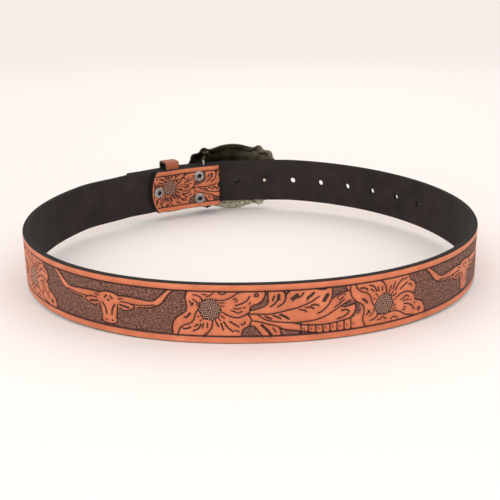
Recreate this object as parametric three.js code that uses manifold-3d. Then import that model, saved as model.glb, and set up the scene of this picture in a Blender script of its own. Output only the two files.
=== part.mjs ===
// A western tooled leather belt, fastened into a closed loop.
// The strap stands on its lower edge in front and on the taller buckle plate behind, so the loop leans
// a little. One end of the strap folds round the buckle's bail and is snapped down on the inside; the
// other end, with the holes, passes between plate and bail, over the fold and through the keeper.
// Millimetres, +Z up. The front of the loop (-Y) is the middle of the wearer's back.
import * as THREE from 'three';
import { mergeVertices } from 'three/addons/utils/BufferGeometryUtils.js';
import Module from 'manifold-3d';

const wasm = await Module();
wasm.setup();

// Loop: the strap's outer face seen from above, a front and a back half of a superellipse
const loopHalfWidth = 165.2;
const loopFrontDepth = 152;
const loopBackDepth = 173;
const frontRoundness = 2.13; // 2 is an ellipse, more is squarer
const backRoundness = 1.88;

// Strap: tooled leather outside, dark lining inside
const strapWidth = 38;
const leatherThickness = 2.6;
const liningThickness = 1.3;
const bondGap = 0.1; // between leather and lining
const stationStep = 7;
const endRadius = 33; // both ends of the strap are cut to this arc

// Places along the strap, as distances from the middle of the buckle plate
const buckleShift = 16.5; // the plate's middle, past the back of the loop
const prongReach = 31.5;
const foldReach = 15.5;
const tipLength = 143; // from the prong's hole to the end of the tongue
const flapLength = 75; // from the fold to the snapped-down end
const bedInset = 3; // how much the strap is flattened behind the plate
const bedEase = 28; // length over which the strap leaves and rejoins the loop's curve

// Holes
const holeCount = 8;
const holePitch = 27.5;
const holeDiameter = 5;
const holesPastProng = 1; // holes between the prong and the tip
const punchSides = 16;
const slotWidth = 5;
const slotReach = 9; // the slot's length on each side of the fold

// Snaps that hold the flap
const snapFlangeDiameter = 9.5;
const snapPostDiameter = 4.4;
const snapEyeDiameter = 3.2;
const snapFlangeHeight = 1.35;
const snapEyeDepth = 3;
const snapCapDiameter = 9;
const snapCapHeight = 0.9;
const snapClearance = 0.2;
const snapSides = 16;
const nearSnapPitch = 22.5; // from the fold to the pair of snaps
const nearSnapSpread = 10.5; // each of the pair, above and below the strap's middle
const farSnapPitch = 67; // from the fold to the single snap

// Keeper: the loose leather loop round both layers
const keeperPitch = 48.5; // from the fold
const keeperLength = 13.5;
const keeperThickness = 2;
const keeperClearance = 0.4;
const keeperRise = 4.4; // it stands this much above the strap
const keeperDrop = 0.5;
const keeperCornerRadius = 3.2;

// Buckle plate
const plateHalfWidth = 41;
const plateHalfHeight = 31;
const plateLift = 2.5; // the plate's middle above the strap's middle
const plateBendRadius = 230;
const plateStandOff = 3; // rim's back to the strap's outer face
const rimThickness = 2.6;
const rimBead = 1.1;
const domeRise = 3.6;
const hollowDepth = 1.4;
const outlineSegments = 84;

// Bail and prong
const wireDiameter = 2.6;
const wireClearance = 0.3;
const bailCornerRadius = 2.2;
const bailSteps = 66;
const barSlack = 9.6; // from the middle of the fold's bend to the bail's bar
const bailSlack = 4; // room above the strap inside the bail
const hingeArc = 5.7; // from the bar back to the hinge
const hingeInset = 1.5; // from the loop's curve
const lugHeight = 2.4;
const lugHalfWidth = 3;
const lugOverhang = 2.8; // metal beyond the hinge's axis
const prongDiameter = 3.6;
const prongSides = 14;
const prongProud = 0.8; // past the strap's inner face

const strapThickness = leatherThickness + bondGap + liningThickness;
const layerGap = snapCapHeight + 2 * snapClearance;
const barGap = wireDiameter + 2 * wireClearance;
const keeperGap = keeperThickness + 2 * keeperClearance;
const endGap = 1.5; // between strap and flap at the flap's end
const middleHeight = strapWidth / 2;
const cutMargin = 1;

const tan = new THREE.Color(0.72, 0.33, 0.16);
const leather = new THREE.MeshStandardMaterial({ color: tan, roughness: 0.5, metalness: 0 });
const lining = new THREE.MeshStandardMaterial({ color: 0x2b2120, roughness: 0.8, metalness: 0 });
const keeperLeather = new THREE.MeshStandardMaterial({ color: 0xb0552f, roughness: 0.5, metalness: 0 });
const nickel = new THREE.MeshStandardMaterial({ color: 0xa3a19b, roughness: 0.35, metalness: 1 });
const agedBrass = new THREE.MeshStandardMaterial({ color: 0x7d7860, roughness: 0.4, metalness: 1 });

const ease = (from, to, x) => THREE.MathUtils.smoothstep(x, from, to);

// A point of the loop's curve; turn 0 is the +X side and turn 3/4 the front
function loopPoint(turn) {
  const angle = turn * 2 * Math.PI;
  const c = Math.cos(angle);
  const s = Math.sin(angle);
  const power = 2 / (s < 0 ? frontRoundness : backRoundness);
  const depth = s < 0 ? loopFrontDepth : loopBackDepth;
  const x = loopHalfWidth * Math.sign(c) * Math.abs(c) ** power;
  return new THREE.Vector2(x, depth * Math.sign(s) * Math.abs(s) ** power);
}

// The curve's length from the front, counterclockwise, at even turns
const loopSamples = 1440;
const loopTable = [{ arc: 0, at: loopPoint(0.75) }];
for (let i = 1; i <= loopSamples; i += 1) {
  const at = loopPoint(0.75 + i / loopSamples);
  const last = loopTable[i - 1];
  loopTable.push({ arc: last.arc + at.distanceTo(last.at), at });
}
const loopLength = loopTable[loopSamples].arc;

function pointAtArc(arc) {
  const s = THREE.MathUtils.euclideanModulo(arc, loopLength);
  let low = 0;
  let high = loopSamples;
  while (high - low > 1) {
    const mid = (low + high) >> 1;
    if (loopTable[mid].arc <= s) low = mid;
    else high = mid;
  }
  const a = loopTable[low];
  const b = loopTable[high];
  return a.at.clone().lerp(b.at, (s - a.arc) / (b.arc - a.arc));
}

// Place on the loop: its point, the direction of travel and the outward normal
function loopFrame(arc) {
  const reach = 2;
  const tangent = pointAtArc(arc + reach).sub(pointAtArc(arc - reach)).normalize();
  return { point: pointAtArc(arc), tangent, normal: new THREE.Vector2(tangent.y, -tangent.x) };
}

const buckleArc = loopLength / 2 + buckleShift;
const prongArc = buckleArc - prongReach;
const foldArc = buckleArc + foldReach;
const tipArc = prongArc + tipLength;
const flapEndArc = foldArc + flapLength;
const keeperArc = foldArc + keeperPitch;
const nearSnapArc = foldArc + nearSnapPitch;
const farSnapArc = foldArc + farSnapPitch;
const foldOuterRadius = strapThickness + barGap / 2;
const foldCentreArc = foldArc + foldOuterRadius;
const barArc = foldCentreArc + barSlack;
const keeperEndArc = keeperArc + keeperLength / 2 + cutMargin;
const bedEndArc = farSnapArc + snapCapDiameter / 2;

// Insets of each layer's outward face from the loop's curve
function tongueInset(arc) {
  const enter = ease(prongArc - bedEase, prongArc, arc);
  const leave = ease(bedEndArc, bedEndArc + bedEase, arc);
  return bedInset * (enter - leave);
}

function anchorInset(arc) {
  const under = 1 - ease(tipArc + bedEase / 4, tipArc + bedEase * 1.75, arc);
  return tongueInset(arc) + (strapThickness + layerGap) * under;
}

function flapGap(arc) {
  const toKeeper = ease(barArc + barGap, keeperArc - keeperLength / 2, arc);
  const toEnd = ease(keeperEndArc, farSnapArc - snapPostDiameter, arc);
  return barGap + (keeperGap - barGap) * toKeeper + (endGap - keeperGap) * toEnd;
}

// The strap's run as stations on its tooled face, from the tip of the tongue round to the flap's end
function station(frame, inset, facing) {
  const at = frame.point.clone().addScaledVector(frame.normal, -inset);
  return { at, facing };
}

function strapStations() {
  const list = [];
  const anchorStart = foldCentreArc - loopLength;
  const count = Math.ceil((tipArc - anchorStart) / stationStep);
  for (let i = 0; i <= count; i += 1) {
    const arc = tipArc + ((anchorStart - tipArc) * i) / count;
    const frame = loopFrame(arc);
    const inset = arc > 0 ? tongueInset(arc) : anchorInset(arc + loopLength);
    list.push(station(frame, inset, frame.normal));
  }
  const bend = loopFrame(foldCentreArc);
  const centre = pocketMiddle(foldCentreArc);
  const foldSteps = 12;
  for (let i = 1; i < foldSteps; i += 1) {
    const angle = (Math.PI * i) / foldSteps;
    const facing = bend.normal.clone().multiplyScalar(Math.cos(angle));
    facing.addScaledVector(bend.tangent, -Math.sin(angle));
    list.push({ at: centre.clone().addScaledVector(facing, foldOuterRadius), facing });
  }
  const flapCount = Math.ceil((flapEndArc - foldCentreArc) / (stationStep / 2));
  for (let i = 0; i <= flapCount; i += 1) {
    const arc = foldCentreArc + ((flapEndArc - foldCentreArc) * i) / flapCount;
    const frame = loopFrame(arc);
    list.push(station(frame, flapInset(arc), frame.normal.clone().negate()));
  }
  return list;
}

function flapInset(arc) {
  return anchorInset(arc) + 2 * strapThickness + flapGap(arc);
}

// The middle of the pocket between the strap and its flap
function pocketMiddle(arc) {
  const frame = loopFrame(arc);
  const inset = anchorInset(arc) + strapThickness + flapGap(arc) / 2;
  return frame.point.clone().addScaledVector(frame.normal, -inset);
}

// Solids: closed meshes in and out of the boolean library
function solid(geometry) {
  const bare = geometry.index ? geometry.toNonIndexed() : geometry;
  bare.deleteAttribute('normal');
  bare.deleteAttribute('uv');
  const merged = mergeVertices(bare, 1e-4);
  return new wasm.Manifold(new wasm.Mesh({
    numProp: 3,
    vertProperties: new Float32Array(merged.attributes.position.array),
    triVerts: new Uint32Array(merged.index.array),
  }));
}

function geometryOf(manifold) {
  const mesh = manifold.getMesh();
  const geometry = new THREE.BufferGeometry();
  geometry.setAttribute('position', new THREE.BufferAttribute(new Float32Array(mesh.vertProperties), 3));
  geometry.setIndex(new THREE.BufferAttribute(new Uint32Array(mesh.triVerts), 1));
  geometry.computeVertexNormals();
  return geometry;
}

const without = (body, cutters) => cutters.reduce((rest, cutter) => rest.subtract(cutter), body);

// Local axes at a place on the loop: x along the strap, y up, z outward
function seat(geometry, arc, inset, height = 0) {
  const { point, tangent, normal } = loopFrame(arc);
  const at = point.clone().addScaledVector(normal, -inset);
  const basis = new THREE.Matrix4().makeBasis(
    new THREE.Vector3(tangent.x, tangent.y, 0),
    new THREE.Vector3(0, 0, 1),
    new THREE.Vector3(normal.x, normal.y, 0),
  );
  return geometry.applyMatrix4(basis.setPosition(at.x, at.y, height));
}

function drum(diameter, length, sides) {
  const radius = diameter / 2;
  return new THREE.CylinderGeometry(radius, radius, length, sides).rotateX(Math.PI / 2);
}

// One layer of the strap, between two depths below the tooled face
function layer(stations, fromDepth, toDepth) {
  const below = (s, depth) => s.at.clone().addScaledVector(s.facing, -depth);
  const outer = stations.map((s) => below(s, fromDepth));
  const inner = stations.map((s) => below(s, toDepth)).reverse();
  const shape = new THREE.Shape([...outer, ...inner]);
  return solid(new THREE.ExtrudeGeometry(shape, { depth: strapWidth, bevelEnabled: false }));
}

// What lies beyond a strap end that is cut to an arc; side 1 ends towards growing arc
function endCutter(arc, fromInset, toInset) {
  const sag = endRadius - Math.sqrt(endRadius ** 2 - middleHeight ** 2);
  const reach = middleHeight + cutMargin;
  const shape = new THREE.Shape();
  const spread = Math.asin(middleHeight / endRadius);
  shape.moveTo(-sag, -reach);
  shape.lineTo(-sag, -middleHeight);
  shape.absarc(-endRadius, 0, endRadius, -spread, spread, false);
  shape.lineTo(-sag, reach);
  shape.lineTo(sag, reach);
  shape.lineTo(sag, -reach);
  const depth = toInset - fromInset;
  const block = new THREE.ExtrudeGeometry(shape, { depth, bevelEnabled: false, curveSegments: 14 });
  return solid(seat(block, arc, toInset, middleHeight));
}

function borePunch(diameter, arc, fromInset, toInset, height) {
  const punch = drum(diameter, toInset - fromInset, punchSides);
  return solid(seat(punch, arc, (fromInset + toInset) / 2, height));
}

// A turned piece along z, from a profile that starts and ends on the axis
function turnedPiece(profile, sides) {
  const points = profile.map(({ radius, depth }) => new THREE.Vector2(radius, depth));
  return new THREE.LatheGeometry(points, sides).rotateX(Math.PI / 2);
}

// The row of holes, the tongue's cut end, the fold's slot, the snaps' holes and the flap's cut end
function strapCutters() {
  const cutters = [];
  for (let i = 0; i < holeCount; i += 1) {
    const arc = prongArc + (holesPastProng - i) * holePitch;
    const inset = tongueInset(arc);
    cutters.push(borePunch(holeDiameter, arc, inset - cutMargin, inset + strapThickness + cutMargin, middleHeight));
  }
  const tongue = tongueInset(tipArc);
  cutters.push(endCutter(tipArc, tongue - cutMargin, tongue + strapThickness + layerGap / 2));
  const flapFace = flapInset(flapEndArc);
  cutters.push(endCutter(flapEndArc, flapFace - strapThickness - endGap / 2, flapFace + cutMargin));
  const slotFrom = anchorInset(foldCentreArc) - layerGap / 2;
  const slotTo = flapInset(foldCentreArc) + cutMargin;
  const slot = new THREE.BoxGeometry(slotReach, slotWidth, slotTo - slotFrom);
  const slotMiddle = (slotFrom + slotTo) / 2;
  cutters.push(solid(seat(slot, foldArc + slotReach / 2 - cutMargin, slotMiddle, middleHeight)));
  cutters.push(borePunch(slotWidth, foldArc + slotReach - cutMargin, slotFrom, slotTo, middleHeight));
  for (const { arc, height } of snapPlaces()) {
    const from = anchorInset(arc) - layerGap / 2;
    const to = flapInset(arc) + cutMargin;
    cutters.push(borePunch(snapPostDiameter + 2 * snapClearance, arc, from, to, height));
  }
  return cutters;
}

function snapPlaces() {
  return [
    { arc: nearSnapArc, height: middleHeight + nearSnapSpread },
    { arc: nearSnapArc, height: middleHeight - nearSnapSpread },
    { arc: farSnapArc, height: middleHeight },
  ];
}

// A snap: the eyed flange on the flap, its post, and the low cap between the strap's two layers
function snap({ arc, height }) {
  const flapFace = flapInset(arc);
  const stack = flapFace - anchorInset(arc);
  const post = snapPostDiameter / 2;
  const eye = snapEyeDiameter / 2;
  const flange = snapFlangeDiameter / 2;
  const cap = snapCapDiameter / 2;
  const capFoot = stack + snapClearance;
  const eyeFloor = snapEyeDepth - snapFlangeHeight;
  const profile = [
    { radius: 0, depth: eyeFloor }, { radius: eye, depth: eyeFloor },
    { radius: eye, depth: -0.75 * snapFlangeHeight }, { radius: 1.3 * eye, depth: -snapFlangeHeight },
    { radius: 0.72 * flange, depth: -0.92 * snapFlangeHeight },
    { radius: 0.93 * flange, depth: -0.55 * snapFlangeHeight },
    { radius: flange, depth: -0.25 * snapFlangeHeight }, { radius: 0.95 * flange, depth: -snapClearance },
    { radius: post, depth: -snapClearance }, { radius: post, depth: capFoot },
    { radius: cap, depth: capFoot }, { radius: 0.93 * cap, depth: capFoot + snapCapHeight },
    { radius: 0, depth: capFoot + snapCapHeight },
  ];
  const turned = turnedPiece(profile, snapSides);
  return solid(seat(turned, arc, flapFace, height));
}

function roundedRectangle(path, left, bottom, right, top, radius) {
  path.moveTo(left + radius, bottom);
  path.lineTo(right - radius, bottom);
  path.absarc(right - radius, bottom + radius, radius, -Math.PI / 2, 0, false);
  path.lineTo(right, top - radius);
  path.absarc(right - radius, top - radius, radius, 0, Math.PI / 2, false);
  path.lineTo(left + radius, top);
  path.absarc(left + radius, top - radius, radius, Math.PI / 2, Math.PI, false);
  path.lineTo(left, bottom + radius);
  path.absarc(left + radius, bottom + radius, radius, Math.PI, 1.5 * Math.PI, false);
  return path;
}

// The keeper's section, drawn across the strap and extruded along it
function keeper() {
  const outside = keeperClearance - tongueInset(keeperArc);
  const inside = -(anchorInset(keeperArc) + strapThickness + keeperClearance);
  const low = -keeperDrop;
  const high = strapWidth + keeperRise;
  const wall = keeperThickness;
  const radius = keeperCornerRadius;
  const ring = new THREE.Shape();
  roundedRectangle(ring, inside - wall, low - wall, outside + wall, high + wall, radius);
  const hole = roundedRectangle(new THREE.Path(), inside, low, outside, high, radius - wall);
  ring.holes.push(hole);
  const band = new THREE.ExtrudeGeometry(ring, { depth: keeperLength, bevelEnabled: false, curveSegments: 6 });
  band.translate(0, 0, -keeperLength / 2).rotateY(-Math.PI / 2);
  return solid(seat(band, keeperArc, 0));
}

// A quarter of the plate's outline, as shares of its half width and half height
const outlineQuarter = [
  { across: 0, up: 1 }, { across: 0.2, up: 0.975 }, { across: 0.36, up: 0.92 },
  { across: 0.47, up: 0.88 }, { across: 0.54, up: 0.885 }, { across: 0.61, up: 0.93 },
  { across: 0.69, up: 0.9 }, { across: 0.73, up: 0.82 }, { across: 0.79, up: 0.775 },
  { across: 0.87, up: 0.765 }, { across: 0.93, up: 0.7 }, { across: 0.955, up: 0.57 },
  { across: 1, up: 0.46 }, { across: 1, up: 0.22 },
];

function plateOutline() {
  const quarter = outlineQuarter.map(({ across, up }) => [across * plateHalfWidth, up * plateHalfHeight]);
  const half = [...quarter, [plateHalfWidth, 0], ...quarter.slice(1).map(([x, y]) => [x, -y]).reverse()];
  const rest = half.map(([x, y]) => [-x, -y]);
  const points = [...half, [0, -plateHalfHeight], ...rest.slice(1)];
  const spline = new THREE.CatmullRomCurve3(points.map(([x, y]) => new THREE.Vector3(x, y, 0)), true);
  return spline.getSpacedPoints(outlineSegments);
}

// The plate's section from the middle of its front to the middle of its back, as shares of the outline
function plateSection() {
  const rim = rimThickness;
  return [
    [0, rim + domeRise], [0.3, rim + 0.86 * domeRise], [0.5, rim + 0.6 * domeRise],
    [0.68, rim + 0.22 * domeRise], [0.8, rim], [0.84, rim], [0.88, rim + rimBead],
    [0.95, rim + rimBead], [0.99, rim], [1, 0.45 * rim], [0.985, 0], [0.88, 0],
    [0.8, hollowDepth], [0.45, 1.5 * hollowDepth], [0, 1.6 * hollowDepth],
  ];
}

function bentPlate() {
  const outline = plateOutline();
  const section = plateSection();
  const points = section.map(([share, z]) => new THREE.Vector2(share, z));
  const plate = new THREE.LatheGeometry(points, outlineSegments);
  const position = plate.attributes.position;
  for (let i = 0; i < position.count; i += 1) {
    const ring = Math.floor(i / points.length) % outlineSegments;
    const { x: share, y: z } = points[i % points.length];
    const x = outline[ring].x * share;
    const y = outline[ring].y * share;
    position.setXYZ(i, x, y, z - x ** 2 / (2 * plateBendRadius));
  }
  return plate;
}

// Inset of the plate's back from the loop's curve
function plateInset(arc) {
  const middle = loopFrame(buckleArc);
  const offset = loopFrame(arc).point.sub(middle.point);
  const bend = offset.dot(middle.tangent) ** 2 / (2 * plateBendRadius);
  return tongueInset(buckleArc) - plateStandOff + bend + offset.dot(middle.normal);
}

const hingeAxisArc = barArc - hingeArc;
const armGap = wireClearance + wireDiameter / 2;
const upperArm = strapWidth + bailSlack + armGap;
const lowerArm = -armGap;

// A lug behind the plate, bored for the turned-out end of the bail
function lug(side) {
  const reach = hingeInset + lugOverhang - plateInset(hingeAxisArc) + 0.75 * rimThickness;
  const block = new THREE.BoxGeometry(2 * lugHalfWidth, lugHeight, reach);
  block.translate(0, 0, reach / 2);
  const middle = (side > 0 ? upperArm : lowerArm) + side * (armGap + lugHeight / 2);
  const body = solid(seat(block, hingeAxisArc, hingeInset + lugOverhang, middle));
  const bore = new THREE.CylinderGeometry(
    wireDiameter / 2 + wireClearance, wireDiameter / 2 + wireClearance, lugHeight + 2 * cutMargin, punchSides,
  );
  return body.subtract(solid(seat(bore, hingeAxisArc, hingeInset, middle)));
}

function prong() {
  const foot = plateInset(prongArc) - hollowDepth - rimThickness / 4;
  const tip = tongueInset(prongArc) + strapThickness + prongProud;
  const radius = prongDiameter / 2;
  const flare = foot + plateStandOff - strapThickness / 2;
  const profile = [
    { radius: 0, depth: -tip }, { radius: 0.6 * radius, depth: -tip },
    { radius, depth: 0.4 * radius - tip }, { radius, depth: -flare },
    { radius: 1.2 * radius, depth: -foot }, { radius: 0, depth: -foot },
  ];
  return solid(seat(turnedPiece(profile, prongSides), prongArc, 0, middleHeight));
}

function bucklePlate() {
  const plate = solid(seat(bentPlate(), buckleArc, plateInset(buckleArc), middleHeight + plateLift));
  return plate.add(lug(1)).add(lug(-1)).add(prong());
}

// The bail: one wire, hinged behind the plate above and below, with its bar inside the fold
function bail() {
  const frame = loopFrame(hingeAxisArc);
  const hinge = frame.point.clone().addScaledVector(frame.normal, -hingeInset);
  const bar = pocketMiddle(barArc);
  const at = (plan, height) => new THREE.Vector3(plan.x, plan.y, height);
  const pastLug = armGap + lugHeight + cutMargin;
  const corners = [
    at(hinge, upperArm + pastLug), at(hinge, upperArm), at(bar, upperArm),
    at(bar, lowerArm), at(hinge, lowerArm), at(hinge, lowerArm - pastLug),
  ];
  const path = new THREE.CurvePath();
  let from = corners[0];
  for (let i = 1; i < corners.length - 1; i += 1) {
    const corner = corners[i];
    const radius = bailCornerRadius;
    const before = corner.clone().add(corners[i - 1].clone().sub(corner).setLength(radius));
    const after = corner.clone().add(corners[i + 1].clone().sub(corner).setLength(radius));
    path.add(new THREE.LineCurve3(from, before));
    path.add(new THREE.QuadraticBezierCurve3(before, corner, after));
    from = after;
  }
  path.add(new THREE.LineCurve3(from, corners[corners.length - 1]));
  const section = new THREE.Shape().absarc(0, 0, wireDiameter / 2, 0, 2 * Math.PI, false);
  const settings = { steps: bailSteps, curveSegments: 4, extrudePath: path };
  return solid(new THREE.ExtrudeGeometry(section, settings));
}

// Assembly
const belt = new THREE.Group();

function add(name, body, material) {
  const mesh = new THREE.Mesh(geometryOf(body), material);
  mesh.name = name;
  belt.add(mesh);
}

const stations = strapStations();
const cutters = strapCutters();
add('strap', without(layer(stations, 0, leatherThickness), cutters), leather);
add('strap_lining', without(layer(stations, leatherThickness + bondGap, strapThickness), cutters), lining);
add('keeper', keeper(), keeperLeather);
snapPlaces().forEach((place, i) => add(`snap_${i + 1}`, snap(place), nickel));
add('buckle_plate', bucklePlate(), agedBrass);
add('buckle_bail', bail(), agedBrass);

// The loop leans until the plate's lowest point and the strap's front edge stand on one plane
const plateFoot = plateHalfHeight - middleHeight - plateLift;
const plateDepth = loopFrame(buckleArc).point.y + loopFrontDepth - plateInset(buckleArc);
belt.rotation.x = Math.atan(plateFoot / plateDepth);

const model = new THREE.Group();
model.add(belt);
model.updateMatrixWorld(true);
const box = new THREE.Box3().setFromObject(belt, true);
const middle = box.getCenter(new THREE.Vector3());
belt.position.set(-middle.x, -middle.y, -box.min.z);
model.updateMatrixWorld(true);

export default model;
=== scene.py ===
import math
import bmesh
import bpy
import numpy as np
from mathutils import Matrix, Vector
from mathutils.geometry import delaunay_2d_cdt


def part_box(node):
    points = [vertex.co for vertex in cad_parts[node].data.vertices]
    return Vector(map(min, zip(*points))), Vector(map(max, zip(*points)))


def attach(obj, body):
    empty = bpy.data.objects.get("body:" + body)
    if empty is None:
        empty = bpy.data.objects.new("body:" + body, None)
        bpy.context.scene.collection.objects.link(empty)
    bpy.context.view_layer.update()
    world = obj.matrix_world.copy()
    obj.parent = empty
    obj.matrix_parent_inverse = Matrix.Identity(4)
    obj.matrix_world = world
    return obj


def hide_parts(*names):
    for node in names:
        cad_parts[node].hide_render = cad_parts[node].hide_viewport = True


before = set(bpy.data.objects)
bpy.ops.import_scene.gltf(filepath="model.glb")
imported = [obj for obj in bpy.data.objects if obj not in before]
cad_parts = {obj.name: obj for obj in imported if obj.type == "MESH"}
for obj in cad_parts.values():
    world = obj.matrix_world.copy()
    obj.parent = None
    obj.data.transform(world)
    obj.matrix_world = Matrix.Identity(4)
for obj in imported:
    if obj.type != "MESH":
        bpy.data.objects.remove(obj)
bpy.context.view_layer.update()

# The loop and the strap's layers, in millimetres, as the CAD has them
loop = {
    "halfWidth": 165.2, "frontDepth": 152, "backDepth": 173,
    "frontRoundness": 2.13, "backRoundness": 1.88,
}
strap = {
    "width": 38, "leather": 2.6, "bond": 0.1, "lining": 1.3, "endRadius": 33,
    "buckleShift": 16.5, "prongReach": 31.5, "foldReach": 15.5, "tipLength": 143, "flapLength": 75,
    "bedInset": 3, "bedEase": 28, "layerGap": 1.3, "barGap": 3.2, "barSlack": 9.6,
    "keeperGap": 2.8, "endGap": 1.5,
    "holeCount": 8, "holePitch": 27.5, "holeRadius": 2.5, "holesPastProng": 1,
    "slotRadius": 2.5, "slotPastBar": 4.9,
}
snapPlan = {"nearPitch": 22.5, "spread": 10.5, "farPitch": 67, "holeRadius": 2.35, "capRadius": 4.5}
keeperPlan = {
    "pitch": 48.5, "length": 13.5, "wall": 2, "clearance": 0.4, "rise": 4.4, "drop": 0.5, "corner": 3.2,
}
middleHeight = strap["width"] / 2
strapThickness = strap["leather"] + strap["bond"] + strap["lining"]


# Loop and layers

def ease(low, high, x):
    t = np.clip((np.asarray(x, float) - low) / (high - low), 0, 1)
    return t * t * (3 - 2 * t)


def traceLoop(count=5760):
    turn = np.linspace(0.75, 1.75, count + 1) * 2 * math.pi
    c, s = np.cos(turn), np.sin(turn)
    power = 2 / np.where(s < 0, loop["frontRoundness"], loop["backRoundness"])
    depth = np.where(s < 0, loop["frontDepth"], loop["backDepth"])
    x = loop["halfWidth"] * np.sign(c) * np.abs(c) ** power
    y = depth * np.sign(s) * np.abs(s) ** power
    return np.concatenate([[0], np.cumsum(np.hypot(np.diff(x), np.diff(y)))]), x, y


loopArc, loopX, loopY = traceLoop()
loopLength = loopArc[-1]


def loopPoint(arc):
    arc = np.mod(arc, loopLength)
    return np.stack([np.interp(arc, loopArc, loopX), np.interp(arc, loopArc, loopY)], -1)


def loopPlace(arc):
    arc = np.asarray(arc, float)
    tangent = loopPoint(arc + 2) - loopPoint(arc - 2)
    tangent /= np.linalg.norm(tangent, axis=-1, keepdims=True)
    normal = np.stack([tangent[..., 1], -tangent[..., 0]], -1)
    return loopPoint(arc), tangent, normal


buckleArc = loopLength / 2 + strap["buckleShift"]
prongArc = buckleArc - strap["prongReach"]
foldArc = buckleArc + strap["foldReach"]
tipArc = prongArc + strap["tipLength"]
flapEndArc = foldArc + strap["flapLength"]
keeperArc = foldArc + keeperPlan["pitch"]
nearSnapArc = foldArc + snapPlan["nearPitch"]
farSnapArc = foldArc + snapPlan["farPitch"]
foldRadius = strapThickness + strap["barGap"] / 2
foldCentreArc = foldArc + foldRadius
barArc = foldCentreArc + strap["barSlack"]
keeperEndArc = keeperArc + keeperPlan["length"] / 2 + 1
bedEndArc = farSnapArc + snapPlan["capRadius"]


def tongueInset(arc):
    enter = ease(prongArc - strap["bedEase"], prongArc, arc)
    leave = ease(bedEndArc, bedEndArc + strap["bedEase"], arc)
    return strap["bedInset"] * (enter - leave)


def anchorInset(arc):
    under = 1 - ease(tipArc + strap["bedEase"] / 4, tipArc + strap["bedEase"] * 1.75, arc)
    return tongueInset(arc) + (strapThickness + strap["layerGap"]) * under


def flapInset(arc):
    toKeeper = ease(barArc + strap["barGap"], keeperArc - keeperPlan["length"] / 2, arc)
    toEnd = ease(keeperEndArc, farSnapArc - 4.4, arc)
    gap = strap["barGap"] + (strap["keeperGap"] - strap["barGap"]) * toKeeper
    return anchorInset(arc) + 2 * strapThickness + gap + (strap["endGap"] - strap["keeperGap"]) * toEnd


# The strap's run, from the tip of the tongue round to the end of the flap
def traceStrap():
    arc = np.arange(tipArc, foldCentreArc - loopLength, -0.75)
    point, _, normal = loopPlace(arc)
    inset = np.where(arc > 0, tongueInset(arc), anchorInset(arc + loopLength))
    runs, facings = [point - normal * inset[:, None]], [normal]
    bendPoint, bendTangent, bendNormal = loopPlace(foldCentreArc)
    centre = bendPoint - bendNormal * (anchorInset(foldCentreArc) + foldRadius)
    angle = np.linspace(0, math.pi, 40)[:, None]
    facing = bendNormal * np.cos(angle) - bendTangent * np.sin(angle)
    runs.append(centre + facing * foldRadius)
    facings.append(facing)
    arc = np.arange(foldCentreArc + 0.75, flapEndArc, 0.75)
    point, _, normal = loopPlace(arc)
    runs.append(point - normal * flapInset(arc)[:, None])
    facings.append(-normal)
    run, facing = np.concatenate(runs), np.concatenate(facings)
    gone = np.concatenate([[0], np.cumsum(np.linalg.norm(np.diff(run, axis=0), axis=1))])
    front = gone[np.argmin(run[:, 1])]
    along = front - gone
    return along[::-1], run[::-1], facing[::-1]


along, strapRun, strapFacing = traceStrap()
flapEnd, tongueEnd = along[0], along[-1]

# From the belt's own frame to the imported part's: the lean, then the shift
plateHalfHeight, plateLift = 31, 2.5
plateFoot = plateHalfHeight - middleHeight - plateLift
plateDepth = float(loopPlace(buckleArc)[0][1]) + loop["frontDepth"]
lean = math.atan(plateFoot / plateDepth)
strapLow, strapHigh = (np.array(corner) * 1000 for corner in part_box("strap"))
frontFoot = loop["frontDepth"] * math.sin(lean)
frontTop = loop["frontDepth"] * math.cos(lean) + strap["width"] * math.sin(lean)
shift = np.array([(strapLow[0] + strapHigh[0]) / 2, strapLow[1] + frontTop, strapLow[2] + frontFoot])
leanMatrix = np.array(Matrix.Rotation(lean, 3, "X"))


def toPart(points):
    return (np.asarray(points, float) @ leanMatrix.T + shift) * 0.001


def bendStrap(s, z, height):
    x = np.interp(s, along, strapRun[:, 0]) + np.interp(s, along, strapFacing[:, 0]) * height
    y = np.interp(s, along, strapRun[:, 1]) + np.interp(s, along, strapFacing[:, 1]) * height
    return toPart(np.stack([x, y, z], -1))


# Where an arc on the flap or tongue falls along the strap
def strapPlace(arc, layer):
    point, _, normal = loopPlace(arc)
    inset = flapInset(arc) if layer == "flap" else tongueInset(arc)
    gap = np.linalg.norm(strapRun - (point - normal * inset), axis=1)
    foldPlace = flapEnd + strap["flapLength"]
    onLayer = along < foldPlace if layer == "flap" else along > 0
    return float(along[np.argmin(np.where(onLayer, gap, 1e9))])


# Materials

def link(tree, source, target):
    tree.links.new(source, target)


def addNode(tree, kind, inputs=None, **settings):
    node = tree.nodes.new(kind)
    for name, value in settings.items():
        setattr(node, name, value)
    for name, value in (inputs or {}).items():
        if isinstance(value, bpy.types.NodeSocket):
            link(tree, value, node.inputs[name])
        else:
            node.inputs[name].default_value = value
    return node


def ramp(tree, factor, stops):
    node = addNode(tree, "ShaderNodeValToRGB", {"Fac": factor})
    elements = node.color_ramp.elements
    while len(elements) < len(stops):
        elements.new(0.5)
    for element, (place, value) in zip(elements, stops):
        element.position = place
        element.color = (*value, 1) if isinstance(value, tuple) else (value, value, value, 1)
    return node.outputs["Color"]


def blendColour(tree, factor, first, second, blend="MIX"):
    node = addNode(tree, "ShaderNodeMix", data_type="RGBA", blend_type=blend)
    for socket, value in zip((node.inputs[0], node.inputs[6], node.inputs[7]), (factor, first, second)):
        if isinstance(value, bpy.types.NodeSocket):
            link(tree, value, socket)
        else:
            socket.default_value = (*value, 1) if isinstance(value, tuple) else value
    return node.outputs[2]


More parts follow.
